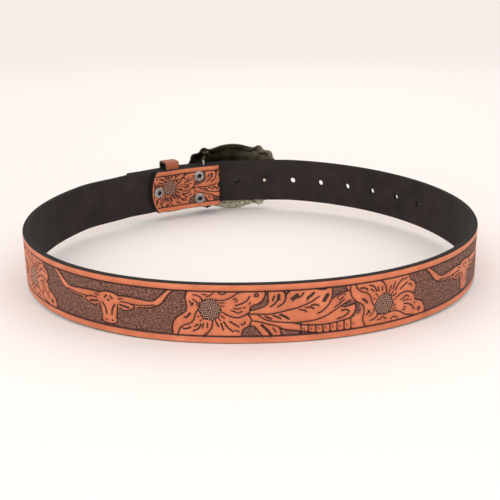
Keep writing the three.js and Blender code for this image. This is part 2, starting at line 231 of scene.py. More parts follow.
def maths(tree, operation, first, second=0.0, clamp=False):
    node = addNode(tree, "ShaderNodeMath", operation=operation, use_clamp=clamp)
    for socket, value in zip(node.inputs, (first, second)):
        if isinstance(value, bpy.types.NodeSocket):
            link(tree, value, socket)
        else:
            socket.default_value = value
    return node.outputs[0]


def startGroup(name, inputs, outputs):
    tree = bpy.data.node_groups.new(name, "ShaderNodeTree")
    for label, kind, value in inputs:
        socket = tree.interface.new_socket(label, in_out="INPUT", socket_type=kind)
        if value is not None:
            socket.default_value = value
    for label, kind in outputs:
        tree.interface.new_socket(label, in_out="OUTPUT", socket_type=kind)
    return tree, tree.nodes.new("NodeGroupInput").outputs, tree.nodes.new("NodeGroupOutput").inputs


# Leather: slow blotches, pores and creases
def makeGrainGroup():
    tree, given, out = startGroup(
        "leatherGrain",
        [("Vector", "NodeSocketVector", None), ("Pore size", "NodeSocketFloat", 900.0)],
        [("Blotch", "NodeSocketFloat"), ("Pores", "NodeSocketFloat")])
    blotch = addNode(tree, "ShaderNodeTexNoise", {
        "Vector": given["Vector"], "Scale": 55.0, "Detail": 5.0, "Roughness": 0.6})
    pores = addNode(tree, "ShaderNodeTexVoronoi", {
        "Vector": given["Vector"], "Scale": given["Pore size"], "Randomness": 0.9})
    fine = addNode(tree, "ShaderNodeTexNoise", {"Vector": given["Vector"], "Scale": 1500.0, "Detail": 3.0})
    mixed = maths(tree, "ADD", maths(tree, "MULTIPLY", pores.outputs["Distance"], 0.7), fine.outputs["Fac"])
    link(tree, blotch.outputs["Fac"], out["Blotch"])
    link(tree, mixed, out["Pores"])
    return tree


# Stippled ground: struck pits with worn, lighter tops between them
def makeStippleGroup():
    tree, given, out = startGroup(
        "stippledGround",
        [("Vector", "NodeSocketVector", None), ("Pit scale", "NodeSocketFloat", 1900.0)],
        [("Pits", "NodeSocketFloat"), ("Speckle", "NodeSocketFloat")])
    cells = addNode(tree, "ShaderNodeTexVoronoi", {
        "Vector": given["Vector"], "Scale": given["Pit scale"], "Randomness": 0.8})
    patches = addNode(tree, "ShaderNodeTexNoise", {"Vector": given["Vector"], "Scale": 750.0, "Detail": 4.0})
    link(tree, cells.outputs["Distance"], out["Pits"])
    link(tree, patches.outputs["Fac"], out["Speckle"])
    return tree


# Cast metal: soft sand texture, tarnish and worn highlights
def makeCastGroup():
    tree, given, out = startGroup(
        "castMetal",
        [("Vector", "NodeSocketVector", None), ("Sand scale", "NodeSocketFloat", 700.0)],
        [("Sand", "NodeSocketFloat"), ("Tarnish", "NodeSocketFloat")])
    sand = addNode(tree, "ShaderNodeTexNoise", {
        "Vector": given["Vector"], "Scale": given["Sand scale"], "Detail": 6.0, "Roughness": 0.65})
    tarnish = addNode(tree, "ShaderNodeTexNoise", {
        "Vector": given["Vector"], "Scale": 90.0, "Detail": 6.0, "Roughness": 0.7, "Distortion": 0.6})
    link(tree, sand.outputs["Fac"], out["Sand"])
    link(tree, tarnish.outputs["Fac"], out["Tarnish"])
    return tree


grainGroup = makeGrainGroup()
stippleGroup = makeStippleGroup()
castGroup = makeCastGroup()


def startMaterial(name, roughness, metallic=0.0, specular=0.5):
    material = bpy.data.materials.new(name)
    material.use_nodes = True
    tree = material.node_tree
    shader = tree.nodes["Principled BSDF"]
    shader.inputs["Roughness"].default_value = roughness
    shader.inputs["Metallic"].default_value = metallic
    shader.inputs["Specular IOR Level"].default_value = specular
    return material, tree, shader


def useGroup(tree, group, inputs):
    node = tree.nodes.new("ShaderNodeGroup")
    node.node_tree = group
    for name, value in inputs.items():
        if isinstance(value, bpy.types.NodeSocket):
            link(tree, value, node.inputs[name])
        else:
            node.inputs[name].default_value = value
    return node.outputs


def addBump(tree, shader, height, distance, strength=1.0, under=None):
    inputs = {"Height": height, "Distance": distance, "Strength": strength}
    if under:
        inputs["Normal"] = under
    bump = addNode(tree, "ShaderNodeBump", inputs)
    link(tree, bump.outputs["Normal"], shader.inputs["Normal"])
    return bump.outputs["Normal"]


def attribute(tree, name):
    return addNode(tree, "ShaderNodeAttribute", attribute_name=name).outputs["Fac"]


def makeTooledLeather():
    material, tree, shader = startMaterial("tooledLeather", 0.46, specular=0.34)
    flat = addNode(tree, "ShaderNodeUVMap", uv_map="flat").outputs["UV"]
    grain = useGroup(tree, grainGroup, {"Vector": flat, "Pore size": 1100.0})
    stipple = useGroup(tree, stippleGroup, {"Vector": flat})
    cut, ground = attribute(tree, "cut"), attribute(tree, "ground")
    shade, edge = attribute(tree, "shade"), attribute(tree, "edge")
    tan = ramp(tree, grain["Blotch"], [(0.3, (0.46, 0.125, 0.052)), (0.52, (0.6, 0.175, 0.08)),
                                       (0.72, (0.7, 0.235, 0.115))])
    antique = blendColour(tree, maths(tree, "MULTIPLY", shade, 0.7), tan, (0.33, 0.075, 0.03))
    base = ramp(tree, stipple["Pits"], [(0.1, (0.54, 0.3, 0.22)), (0.34, (0.29, 0.125, 0.085)),
                                        (0.62, (0.08, 0.03, 0.02))])
    patch = ramp(tree, stipple["Speckle"], [(0.34, (0.32, 0.3, 0.32)), (0.5, (1.0, 1.0, 1.0)),
                                            (0.7, (1.7, 1.5, 1.45))])
    floor = blendColour(tree, 1.0, base, patch, "MULTIPLY")
    colour = blendColour(tree, ground, antique, floor)
    colour = blendColour(tree, ramp(tree, cut, [(0.08, 0.0), (0.45, 1.0)]), colour, (0.034, 0.009, 0.005))
    colour = blendColour(tree, attribute(tree, "seed"), colour, (0.62, 0.36, 0.26))
    paint = blendColour(tree, grain["Blotch"], (0.006, 0.0055, 0.005), (0.012, 0.011, 0.01))
    colour = blendColour(tree, ramp(tree, edge, [(0.1, 0.0), (0.35, 1.0)]), colour, paint)
    link(tree, colour, shader.inputs["Base Color"])
    rough = maths(tree, "ADD", maths(tree, "MULTIPLY", grain["Blotch"], 0.22), 0.34)
    rough = maths(tree, "ADD", rough, maths(tree, "MULTIPLY", ground, 0.18))
    rough = maths(tree, "ADD", rough, maths(tree, "MULTIPLY", edge, 0.4))
    link(tree, rough, shader.inputs["Roughness"])
    first = addBump(tree, shader, grain["Pores"], 0.00004, 0.6)
    pits = maths(tree, "MULTIPLY", stipple["Pits"], maths(tree, "MULTIPLY", ground, -1.0))
    addBump(tree, shader, pits, 0.0005, 1.0, first)
    return material


def makeLiningLeather():
    material, tree, shader = startMaterial("liningLeather", 0.7, specular=0.2)
    flat = addNode(tree, "ShaderNodeUVMap", uv_map="flat").outputs["UV"]
    grain = useGroup(tree, grainGroup, {"Vector": flat, "Pore size": 1300.0})
    edge = attribute(tree, "edge")
    dark = ramp(tree, grain["Blotch"], [(0.3, (0.013, 0.0095, 0.009)), (0.7, (0.027, 0.02, 0.019))])
    fleck = ramp(tree, grain["Pores"], [(0.45, (0.8, 0.8, 0.8)), (1.0, (1.25, 1.22, 1.2))])
    colour = blendColour(tree, 1.0, dark, fleck, "MULTIPLY")
    colour = blendColour(tree, edge, colour, (0.008, 0.0075, 0.007))
    link(tree, colour, shader.inputs["Base Color"])
    addBump(tree, shader, grain["Pores"], 0.00006, 0.8)
    return material


def makeKeeperLeather():
    material, tree, shader = startMaterial("keeperLeather", 0.48, specular=0.4)
    place = addNode(tree, "ShaderNodeTexCoord").outputs["Object"]
    grain = useGroup(tree, grainGroup, {"Vector": place, "Pore size": 1000.0})
    edge = attribute(tree, "edge")
    tan = ramp(tree, grain["Blotch"], [(0.3, (0.25, 0.06, 0.025)), (0.7, (0.42, 0.12, 0.055))])
    colour = blendColour(tree, ramp(tree, edge, [(0.35, 0.0), (0.65, 1.0)]), tan, (0.018, 0.015, 0.014))
    colour = blendColour(tree, attribute(tree, "inner"), colour, (0.02, 0.012, 0.01))
    link(tree, colour, shader.inputs["Base Color"])
    addBump(tree, shader, grain["Pores"], 0.00005, 0.7)
    return material


def makeCastBrass():
    material, tree, shader = startMaterial("agedBrass", 0.4, metallic=1.0)
    place = addNode(tree, "ShaderNodeTexCoord").outputs["Object"]
    cast = useGroup(tree, castGroup, {"Vector": place})
    worn = attribute(tree, "worn")
    bare = ramp(tree, cast["Tarnish"], [(0.3, (0.2, 0.18, 0.12)), (0.55, (0.36, 0.34, 0.25)),
                                        (0.75, (0.52, 0.5, 0.4))])
    dark = ramp(tree, cast["Tarnish"], [(0.35, (0.012, 0.011, 0.006)), (0.7, (0.045, 0.042, 0.024))])
    # Painted shade and reflection: the darker body colour stands for shade on the back's upper part and on
    # the lugs, and for real patina on the front relief.
    body = blendColour(tree, attribute(tree, "patina_and_shade"), bare, dark)
    colour = blendColour(tree, worn, body, (0.62, 0.58, 0.46))
    link(tree, colour, shader.inputs["Base Color"])
    rough = maths(tree, "ADD", maths(tree, "MULTIPLY", cast["Tarnish"], 0.35), 0.2)
    link(tree, rough, shader.inputs["Roughness"])
    addBump(tree, shader, cast["Sand"], 0.00022, 0.55)
    return material


def makeWornNickel():
    material, tree, shader = startMaterial("wornNickel", 0.34, metallic=1.0)
    place = addNode(tree, "ShaderNodeTexCoord").outputs["Object"]
    cast = useGroup(tree, castGroup, {"Vector": place, "Sand scale": 2400.0})
    colour = ramp(tree, cast["Tarnish"], [(0.3, (0.2, 0.19, 0.175)), (0.6, (0.45, 0.44, 0.42))])
    # Painted shade: the eyelet's bore is coloured near black.
    colour = blendColour(tree, attribute(tree, "painted_bore_shade"), colour, (0.006, 0.006, 0.006))
    link(tree, colour, shader.inputs["Base Color"])
    addBump(tree, shader, cast["Sand"], 0.00005, 0.4)
    return material


def makeWire():
    material, tree, shader = startMaterial("brightWire", 0.28, metallic=1.0)
    place = addNode(tree, "ShaderNodeTexCoord").outputs["Object"]
    cast = useGroup(tree, castGroup, {"Vector": place, "Sand scale": 1800.0})
    colour = ramp(tree, cast["Tarnish"], [(0.3, (0.45, 0.43, 0.36)), (0.65, (0.75, 0.73, 0.66))])
    # Painted shade: the wire is darkened away from the bar, which alone shows bright through the slot.
    colour = blendColour(tree, attribute(tree, "patina_and_shade"), colour, (0.035, 0.032, 0.02))
    link(tree, colour, shader.inputs["Base Color"])
    addBump(tree, shader, cast["Sand"], 0.00004, 0.4)
    return material


materials = {
    "tooled": makeTooledLeather(), "lining": makeLiningLeather(), "keeper": makeKeeperLeather(),
    "brass": makeCastBrass(), "nickel": makeWornNickel(), "wire": makeWire(),
}
print("materials made")


# Pieces

def finishPiece(name, points, faces, material, node, layers=None, flat=None):
    mesh = bpy.data.meshes.new(name)
    mesh.from_pydata([tuple(p) for p in points], [], [tuple(int(i) for i in f) for f in faces])
    for layer, values in (layers or {}).items():
        mesh.attributes.new(layer, "FLOAT", "POINT").data.foreach_set("value", np.asarray(values, float))
    if flat is not None:
        corners = np.empty(len(mesh.loops), int)
        mesh.loops.foreach_get("vertex_index", corners)
        mesh.uv_layers.new(name="flat").data.foreach_set("uv", flat[corners].astype(np.float32).ravel())
    body = bmesh.new()
    body.from_mesh(mesh)
    bmesh.ops.recalc_face_normals(body, faces=body.faces)
    body.to_mesh(mesh)
    body.free()
    mesh.polygons.foreach_set("use_smooth", [True] * len(mesh.polygons))
    mesh.materials.append(material)
    piece = bpy.data.objects.new(name, mesh)
    bpy.context.scene.collection.objects.link(piece)
    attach(piece, "root")
    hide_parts(*node)
    return piece


# Loops in the flat strap: outline, punched holes, the fold's slot and the flap's snap holes

def outlineLoop(spacing=1.5):
    half, radius = middleHeight, strap["endRadius"]
    sag = radius - math.sqrt(radius ** 2 - half ** 2)
    spread = math.asin(half / radius)
    turn = np.linspace(-spread, spread, 27)
    tongue = np.stack([tongueEnd - radius + radius * np.cos(turn), half + radius * np.sin(turn)], -1)
    flap = np.stack([flapEnd + radius - radius * np.cos(turn), half - radius * np.sin(turn)], -1)
    low, high = flapEnd + sag, tongueEnd - sag
    run = np.linspace(low, high, int((high - low) / spacing))[1:-1]
    bottom = np.stack([run, np.zeros(len(run))], -1)
    top = np.stack([run[::-1], np.full(len(run), strap["width"])], -1)
    return np.concatenate([tongue, top, flap, bottom])



def circleLoop(s, z, radius, count=18):
    turn = np.linspace(0, 2 * math.pi, count, endpoint=False)
    return np.stack([s + radius * np.cos(turn), z + radius * np.sin(turn)], -1)


def snapPlaces():
    near, far = strapPlace(nearSnapArc, "flap"), strapPlace(farSnapArc, "flap")
    spread = snapPlan["spread"]
    return [(nearSnapArc, near, middleHeight + spread), (nearSnapArc, near, middleHeight - spread),
            (farSnapArc, far, middleHeight)]


def holePlaces():
    arcs = [prongArc + (strap["holesPastProng"] - i) * strap["holePitch"] for i in range(strap["holeCount"])]
    return [strapPlace(arc, "tongue") for arc in arcs]


foldPlace = flapEnd + strap["flapLength"] - foldRadius + foldRadius * math.pi / 2
slotHalf = foldRadius * math.pi / 2 + strap["slotPastBar"] - strap["slotRadius"]


def strapLoops():
    loops = [outlineLoop()]
    loops += [circleLoop(s, middleHeight, strap["holeRadius"]) for s in holePlaces()]
    loops.append(slotLoop())
    loops += [circleLoop(s, z, snapPlan["holeRadius"]) for _, s, z in snapPlaces()]
    return loops


def slotLoop(spacing=1.6):
    radius = strap["slotRadius"]
    turn = np.linspace(-math.pi / 2, math.pi / 2, 9)
    right = np.stack([foldPlace + slotHalf + radius * np.cos(turn), middleHeight + radius * np.sin(turn)], -1)
    left = np.stack([foldPlace - slotHalf - radius * np.cos(turn), middleHeight - radius * np.sin(turn)], -1)
    run = np.linspace(-slotHalf, slotHalf, int(2 * slotHalf / spacing))[1:-1]
    top = np.stack([foldPlace - run, np.full(len(run), middleHeight + radius)], -1)
    bottom = np.stack([foldPlace + run, np.full(len(run), middleHeight - radius)], -1)
    return np.concatenate([right, top, left, bottom])


# A closed loop moved towards the leather; a hole's loop moves outwards
def offsetLoop(points, distance):
    ahead = np.roll(points, -1, 0) - points
    ahead /= np.linalg.norm(ahead, axis=1, keepdims=True)
    behind = np.roll(ahead, 1, 0)
    left = np.stack([-ahead[:, 1], ahead[:, 0]], -1)
    leftBehind = np.stack([-behind[:, 1], behind[:, 0]], -1)
    mitre = left + leftBehind
    mitre /= np.maximum(1 + np.sum(left * leftBehind, 1, keepdims=True), 0.3)
    return points + mitre * distance


def insideLoop(points, polygon):
    x, y = points[:, 0], points[:, 1]
    inside = np.zeros(len(points), bool)
    for (x0, y0), (x1, y1) in zip(polygon, np.roll(polygon, -1, 0)):
        if y0 == y1:
            continue
        crosses = (y0 > y) != (y1 > y)
        inside ^= crosses & (x < (x1 - x0) * (y - y0) / (y1 - y0) + x0)
    return inside




# A sheet cut in the flat from loops, with rounded edges, then bent along the strap's run
def makeSheet(name, loops, marks, lines, relief, base, side, thickness, roundness, material, node):
    inset = [offsetLoop(points, roundness if i == 0 else -0.4 * roundness) for i, points in enumerate(loops)]
    points, edges = [], []
    starts = []
    for ring in inset:
        starts.append(len(points))
        edges += [(len(points) + i, len(points) + (i + 1) % len(ring)) for i in range(len(ring))]
        points += [tuple(p) for p in ring]
    for line in lines:
        edges += [(len(points) + i, len(points) + i + 1) for i in range(len(line) - 1)]
        points += [tuple(p) for p in line]
    points += [tuple(p) for p in marks]
    made = delaunay_2d_cdt([Vector(p) for p in points], edges, [], 0, 0.004)
    flat = np.array([tuple(v) for v in made[0]])
    faces = np.array([tuple(f) for f in made[2]])
    centres = flat[faces].mean(1)
    keep = insideLoop(centres, inset[0])
    for ring in inset[1:]:
        near = keep & (np.abs(centres[:, 0] - ring[:, 0].mean()) < 25)
        keep[near] = ~insideLoop(centres[near], ring)
    faces = faces[keep]
    newIndex = {}
    for i, sources in enumerate(made[3]):
        for source in sources:
            newIndex[source] = i
    layers = relief(flat)
    height = layers.pop("height")
    allFlat, allHeight = [flat], [height]
    allFaces = [tuple(f) for f in faces]
    edgeLevel = [np.zeros(len(flat))]
    total = len(flat)
    lowRings = []
    for k, ring in enumerate(loops):
        size = len(ring)
        full = roundness if k == 0 else -0.4 * roundness
        upper = [newIndex[starts[k] + i] for i in range(size)]
        for share, drop, level in ((0.55, 0.1, 0.25), (0.2, 0.35, 0.8), (0.0, 0.9, 1.0), (0.0, None, 1.0)):
            row = offsetLoop(ring, full * share)
            depth = thickness if drop is None else min(drop * abs(full), thickness * 0.8)
            lower = list(range(total, total + size))
            for i in range(size):
                j = (i + 1) % size
                allFaces.append((upper[i], upper[j], lower[j], lower[i]))
            allFlat.append(row)
            allHeight.append(np.full(size, -depth))
            edgeLevel.append(np.full(size, level if k == 0 else 1.0))
            total += size
            upper = lower
        lowRings.append(upper)
    low = [p for ring in loops for p in ring]
    lowIndex = [i for ring in lowRings for i in ring]
    lowEdges = []
    count = 0
    for ring in loops:
        lowEdges += [(count + i, count + (i + 1) % len(ring)) for i in range(len(ring))]
        count += len(ring)
    back = delaunay_2d_cdt([Vector(tuple(p)) for p in low], lowEdges, [], 0, 1e-5)
    backFaces = np.array([tuple(f) for f in back[2]])
    backFlat = np.array([tuple(v) for v in back[0]])
    centres = backFlat[backFaces].mean(1)
    keep = insideLoop(centres, loops[0])
    for ring in loops[1:]:
        near = keep & (np.abs(centres[:, 0] - ring[:, 0].mean()) < 25)
        keep[near] = ~insideLoop(centres[near], ring)
    source = [s[0] for s in back[3]]
    allFaces += [tuple(lowIndex[source[i]] for i in f) for f in backFaces[keep]]
    allFlat, allHeight = np.concatenate(allFlat), np.concatenate(allHeight)
    levels = {"edge": np.concatenate(edgeLevel)}
    for layer, values in layers.items():
        levels[layer] = np.concatenate([values, np.zeros(len(allFlat) - len(values))])
    placed = bendStrap(allFlat[:, 0], allFlat[:, 1], base + side * allHeight)
    return finishPiece(name, placed, allFaces, material, node, levels, allFlat * 0.001)


# Tooling, charted on the flat strap: distance along the strap, height above its lower edge

tooling = {
    "repeat": 254.6, "border": 4.7, "borderWidth": 1.3, "cutWidth": 1.05, "endMargin": 1.8, "holeMargin": 1.2,
    "holeSearch": 25, "meshPitch": 1.7, "cutDepth": 0.5,
    "groundDepth": 0.42, "flowerStep": 107.8, "flowerTop": 39.3, "skull": -90.3,
}


def smoothLine(points, spacing=1.1):
    points = np.array(points, float)
    if len(points) == 2:
        middle = points.mean(0)
        points = np.array([points[0], middle, points[1]])
    padded = np.concatenate([[2 * points[0] - points[1]], points, [2 * points[-1] - points[-2]]])
    out = []
    for a, b, c, d in zip(padded, padded[1:], padded[2:], padded[3:]):
        t = np.linspace(0, 1, 9)[:-1, None]
        out.append(0.5 * (2 * b + (c - a) * t + (2 * a - 5 * b + 4 * c - d) * t ** 2
                          + (3 * b - a - 3 * c + d) * t ** 3))
    out = np.concatenate([*out, points[-1:]])
    gone = np.concatenate([[0], np.cumsum(np.linalg.norm(np.diff(out, axis=0), axis=1))])
    steps = np.linspace(0, gone[-1], max(3, int(gone[-1] / spacing) + 1))
    return np.stack([np.interp(steps, gone, out[:, 0]), np.interp(steps, gone, out[:, 1])], -1)


# The skull's left horn is a little longer than its right one
def hornPlace(d):
    return tooling["skull"] + d - 0.2 * max(-d - 20, 0)


# Each stroke is its width as a share of the usual cut, then its points
def skullStrokes():
    half = [
        (1.0, [(0, 27.3), (3.5, 26.9), (7, 25.5)]),
        (1.1, [(7, 25.5), (13.5, 26), (21, 25.5), (27, 24.9), (31, 25.3), (35, 28.5), (39.5, 32.7),
               (43, 34.8)]),
        (1.1, [(48, 34.5), (43.4, 32.3), (41, 30.4), (38.7, 27.3), (35.7, 23.5), (31.8, 21.5),
               (27, 20.2), (20.3, 19.6)]),
        (0.9, [(15.5, 21.4), (24, 21.4), (31.8, 22.7)]),
        (1.0, [(7.2, 23.5), (10.3, 24.1)]),
        (1.0, [(8.8, 21.9), (13.4, 21.9), (17.2, 20.8), (18.4, 19.6), (16.1, 17.7), (11.8, 16.5),
               (8, 17.7)]),
        (1.6, [(8.4, 19.8), (11.5, 19.2), (14.5, 18.8)]),
        (1.0, [(6.6, 19.5), (6.4, 17.7), (5.9, 13.8), (5.2, 10.8), (5.9, 9.2), (4.4, 6.9), (0, 6.0)]),
        (1.3, [(4.6, 19.4), (2.6, 16), (1.9, 12.3)]),
        (1.3, [(1.3, 24.6), (3, 22.9)]),
        (1.0, [(1.9, 8.2), (2.8, 8.7)]),
        (1.0, [(0.1, 21.4), (0.9, 21.9)]),
    ]
    return [(w, [(hornPlace(side * d), z) for d, z in line]) for w, line in half for side in (1, -1)]


def skullOutline():
    half = [(0, 27.3), (3.5, 26.9), (7, 25.5), (13.5, 26), (21, 25.5), (27, 24.9), (31, 25.3), (35, 28.5),
            (39.5, 32.7), (43, 34.8), (48, 34.5), (43.4, 32.3), (41, 30.4), (38.7, 27.3), (35.7, 23.5),
            (31.8, 21.5), (27, 20.2), (20.3, 19.6), (18.2, 19.2), (16.1, 17.7), (11.8, 16.5), (8, 17.7),
            (6.4, 17.5), (5.9, 13.8), (5.2, 10.8), (5.9, 9.2), (4.4, 6.9), (0, 6.0)]
    return [(hornPlace(d), z) for d, z in half] + [(hornPlace(-d), z) for d, z in half[::-1]]


flowerMargin = {
    "left": [(-37.1, 34.7), (-38.8, 31.2), (-39.3, 28.2), (-38.5, 24.7), (-38.8, 21.2), (-40.6, 19.1),
             (-44.1, 16.8), (-46.8, 13.5), (-47.8, 9.4), (-47.5, 4.7)],
    "upperRight": [(8.5, 34.7), (8.2, 30.6), (6.5, 27.4), (3.5, 25.3), (0, 24.1), (-0.9, 21.2)],
    "lowerRight": [(-2.1, 18.8), (-0.3, 16.5), (-0.3, 14.1), (-1.8, 11.2), (-5, 9.4), (-6.2, 4.7)],
}
seedField = {"middle": (-24.7, 21.9), "halfLength": 6.1, "halfHeight": 6.4, "pitch": 1.2, "radius": 0.5,
             "turn": 2.39996}


def flowerStrokes():
    return [
        (1.0, flowerMargin["left"]), (1.0, flowerMargin["upperRight"]), (1.0, flowerMargin["lowerRight"]),
        (1.0, [(-44.7, 5), (-43.2, 8.8), (-40.6, 11.2), (-36.5, 12.9), (-34.4, 15.3), (-33.5, 18.2),
               (-32.6, 20.3), (-30.3, 23.5), (-29.1, 27.4), (-30.6, 30), (-34.4, 31.1)]),
        (0.9, [(-34.7, 28.2), (-32.4, 26.5), (-31.9, 23.5)]),
        (1.0, [(-36.8, 26.8), (-34.7, 24.4)]),
        (0.9, [(-35.9, 23.9), (-34.4, 26.1)]),
        (1.5, [(-39.7, 16.2), (-38, 17.2), (-36.5, 19.1)]),
        (1.0, [(-28.8, 27.6), (-24.7, 28.6), (-21.2, 28.1), (-16.5, 27.9), (-12.4, 29.4), (-8.2, 32.1),
               (-3.5, 33.5), (0, 34.6)]),
        (0.9, [(-29.1, 31.6), (-27.8, 31.2), (-26.6, 31.5)]),
        (1.0, [(-26.5, 30), (-24.6, 30.7), (-22.6, 32.1)]),
        (1.0, [(-19.4, 32.9), (-17.1, 31.5), (-14.4, 32.9)]),
        (1.1, [(-15.6, 19.4), (-12.9, 17.9), (-8.8, 16.9), (-4.7, 17.9), (-1.2, 20.3)]),
        (1.1, [(-9.4, 24.6), (-5.3, 25.9), (-2.4, 27.9), (-0.9, 30.3)]),
        (1.0, [(-10.3, 22.8), (-8, 22.5), (-5.9, 22.9)]),
        (0.9, [(-4.7, 23.2), (-3.5, 23.4)]),
        (1.0, [(-12, 21.5), (-10, 20.9), (-8.2, 19.7), (-5.6, 20.9)]),
        (0.8, [(-10.6, 28.4), (-9.4, 28.9), (-8, 27.6), (-9.6, 27)]),
        (1.1, [(4.4, 31), (3.2, 32.1), (2, 31), (3.2, 29.9), (4.4, 31)]),
        (0.9, [(-1.2, 25.3), (-0.6, 26.5)]),
        (0.8, [(-18.6, 26.2), (-15.8, 26.3)]),
        (0.8, [(-18.3, 24.4), (-16, 24.2)]),
        (1.2, [(-30, 12.6), (-31.8, 9.4), (-35, 7.9)]),
        (1.0, [(-28.5, 12.8), (-29.4, 9.7)]),
        (1.1, [(-31.8, 12.4), (-34.1, 10.6)]),
        (1.3, [(-36.5, 10.3), (-38.8, 9.1), (-41.2, 9.1)]),
        (1.1, [(-26.2, 13), (-26.4, 10.3)]),
        (1.1, [(-23.2, 14.3), (-23.5, 11.2), (-25.3, 7.9), (-28.8, 5)]),
        (1.1, [(-20.9, 13.8), (-19.5, 10.9)]),
        (1.2, [(-18.2, 13.4), (-16.8, 9.1)]),
        (1.2, [(-16.5, 14.4), (-14.1, 10.6), (-10.9, 7.9)]),
        (1.2, [(-12.9, 14.4), (-10.4, 12.8), (-7.4, 10.9)]),
        (1.0, [(-10, 8.8), (-7.6, 7.9)]),
        (1.1, [(-6.2, 12.6), (-4.4, 12.6), (-3.8, 14.2)]),
        (0.9, [(-18.2, 18.2), (-16, 16.4)]),
        (0.9, [(-19.6, 16.6), (-18.2, 14.8)]),
        (0.9, [(-21.6, 15.4), (-21, 13.9)]),
        (0.9, [(-17.4, 20.4), (-16.2, 20)]),
        (0.9, [(-29.6, 15.4), (-30.6, 14.2)]),
        (0.8, [(-31.3, 17.6), (-32.2, 16.9)]),
    ]


def leafStrokes():
    strokes = [
        (1.0, [(-0.9, 21.2), (4.7, 22.6), (8.8, 24.7), (10, 26.5), (9.8, 30.6), (9.6, 34.7)]),
        (1.1, [(-2.4, 18.9), (2.6, 19.1), (10.3, 18.8), (16.2, 19.7), (21.5, 20.9), (26.8, 21.9),
               (31.5, 23.5), (36.2, 25.6), (40.3, 28.2)]),
        (1.2, [(14.4, 34.7), (17.9, 34.1), (20, 31.8), (20.3, 28.8), (19.1, 25.6), (15.6, 23.2)]),
        (2.2, [(16.3, 30.6), (16, 28.2)]),
        (1.2, [(16, 28.2), (13.8, 25.3), (11.2, 23.5)]),
        (1.2, [(13.8, 30.3), (12.6, 27.4)]),
        (1.1, [(20.3, 30.2), (21.5, 31.8), (23.8, 33.5), (27.9, 34.5)]),
        (1.0, [(36, 34.6), (39.1, 33.3), (43.2, 32.4), (46.8, 33.6)]),
        (1.1, [(48.2, 34.7), (48.8, 31.2), (48.2, 26.5), (46.2, 22.4), (42.6, 18.8), (39.4, 17.5)]),
        (2.6, [(24.6, 28), (27, 30)]),
        (1.2, [(26.6, 28.3), (29.4, 29.1), (30.9, 31.2)]),
        (2.0, [(33.4, 27.7), (37.1, 30.6)]),
        (2.6, [(43.6, 25.6), (45.6, 28.8)]),
        (1.2, [(35.6, 22.9), (37.9, 23.4), (40.3, 22.4)]),
        (1.2, [(32.1, 21.8), (34.7, 21.9), (37.4, 20.9)]),
        (1.2, [(28.5, 20.9), (31.2, 20.2), (32.9, 19.1)]),
        (1.7, [(17.4, 18.2), (19.8, 16.9), (22.1, 15.3)]),
        (1.3, [(12.9, 17.8), (15.2, 16.9), (17.4, 15.6)]),
        (1.3, [(8.2, 17.4), (11.8, 15.8)]),
        (1.0, [(3.8, 18.5), (7.4, 15.9), (10.3, 14.7), (15, 13.8), (21.5, 12.9), (26.8, 12.6),
               (30.3, 12.8), (36.2, 13.2), (40.9, 14.1), (45.6, 15.9), (49.7, 18.2), (53.8, 20.6),
               (57.4, 22.7), (60.4, 23.9)]),
        (1.0, [(0.9, 14.7), (5.6, 13.8), (9.7, 12.4), (14.4, 11.2), (17.9, 9.4), (20.3, 8.5),
               (25.6, 7.6), (32.6, 6.3), (39.7, 4.9)]),
        (1.1, [(25.6, 12.4), (29.7, 11.2), (36.2, 10.3), (45, 10.1), (53.8, 11.1), (59.7, 12.1),
               (62.6, 13.4)]),
        (1.0, [(-1, 11.4), (1.5, 11.2), (4.1, 8.2), (6.2, 4.9)]),
        (2.0, [(6, 11.8), (9.1, 8.8), (11.8, 5)]),
        (1.0, [(12.6, 10), (14.4, 7.2)]),
        (1.2, [(16.8, 9.6), (18, 5.4)]),
        (1.1, [(57.4, 20), (60.3, 20.4), (63.2, 21.1), (63.9, 18.8), (63.2, 15.9), (61.7, 13.6)]),
        (1.2, [(54.4, 17.6), (56.8, 17.9), (59.4, 17.1), (58.5, 15.3), (55.6, 13.5), (51.8, 12.6)]),
        (1.0, [(57.4, 20), (54.8, 20.1)]),
        (1.0, [(51.8, 25.9), (52.4, 27.4), (55, 28.2), (57.1, 27.6)]),
        (1.1, [(52.9, 24.6), (55.6, 26.3)]),
        (1.1, [(53.2, 22.6), (56.2, 24.6)]),
        (1.0, [(50.1, 20.3), (53, 22.1)]),
        (1.0, [(49.1, 26.3), (50.9, 27.6), (53.8, 29.2), (57.9, 29.6)]),
        (1.0, [(57.3, 34.7), (57.4, 31.4), (59.9, 29.2)]),
    ]
    rungs = {"first": 29.4, "pitch": 4.45, "count": 8, "low": 5.1}
    for i in range(rungs["count"]):
        s = rungs["first"] + i * rungs["pitch"]
        top = 10.1 + 0.02 * (s - 44) ** 2 / 2
        strokes.append((0.95, [(s, top), (s + 0.3, rungs["low"])]))
        strokes.append((0.7, [(s + 1.6, 8.6), (s + 2.1, 7.4)]))
    return strokes


# Closer veins round the flap's flower, where the tooling is denser
def flapStrokes():
    s0, z0 = seedField["middle"]
    flower = min((s0 + turn * tooling["repeat"] for turn in repeatRange()),
                 key=lambda s: abs(s - flapEnd - veins["fromEnd"]))
    strokes = []
    for ring, (count, inner, outer, twist) in enumerate(veins["rings"]):
        for i in range(count):
            angle = 2 * math.pi * (i + 0.5 * ring) / count
            reach = outer + 1.4 * math.sin(2.3 * i + ring)
            line = []
            for share in (0, 0.35, 0.7, 1):
                r, a = inner + (reach - inner) * share, angle + twist * share ** 2
                line.append((flower + r * math.cos(a), z0 + r * math.sin(a)))
            strokes.append((1.0 + 0.25 * (i % 2), line))
    return strokes


veins = {"fromEnd": 22, "rings": [(20, 8.2, 12.3, 0.15), (19, 14.8, 19.5, 0.2)]}


def flipFlower(points):
    return [(s + tooling["flowerStep"], tooling["flowerTop"] - z) for s, z in points]


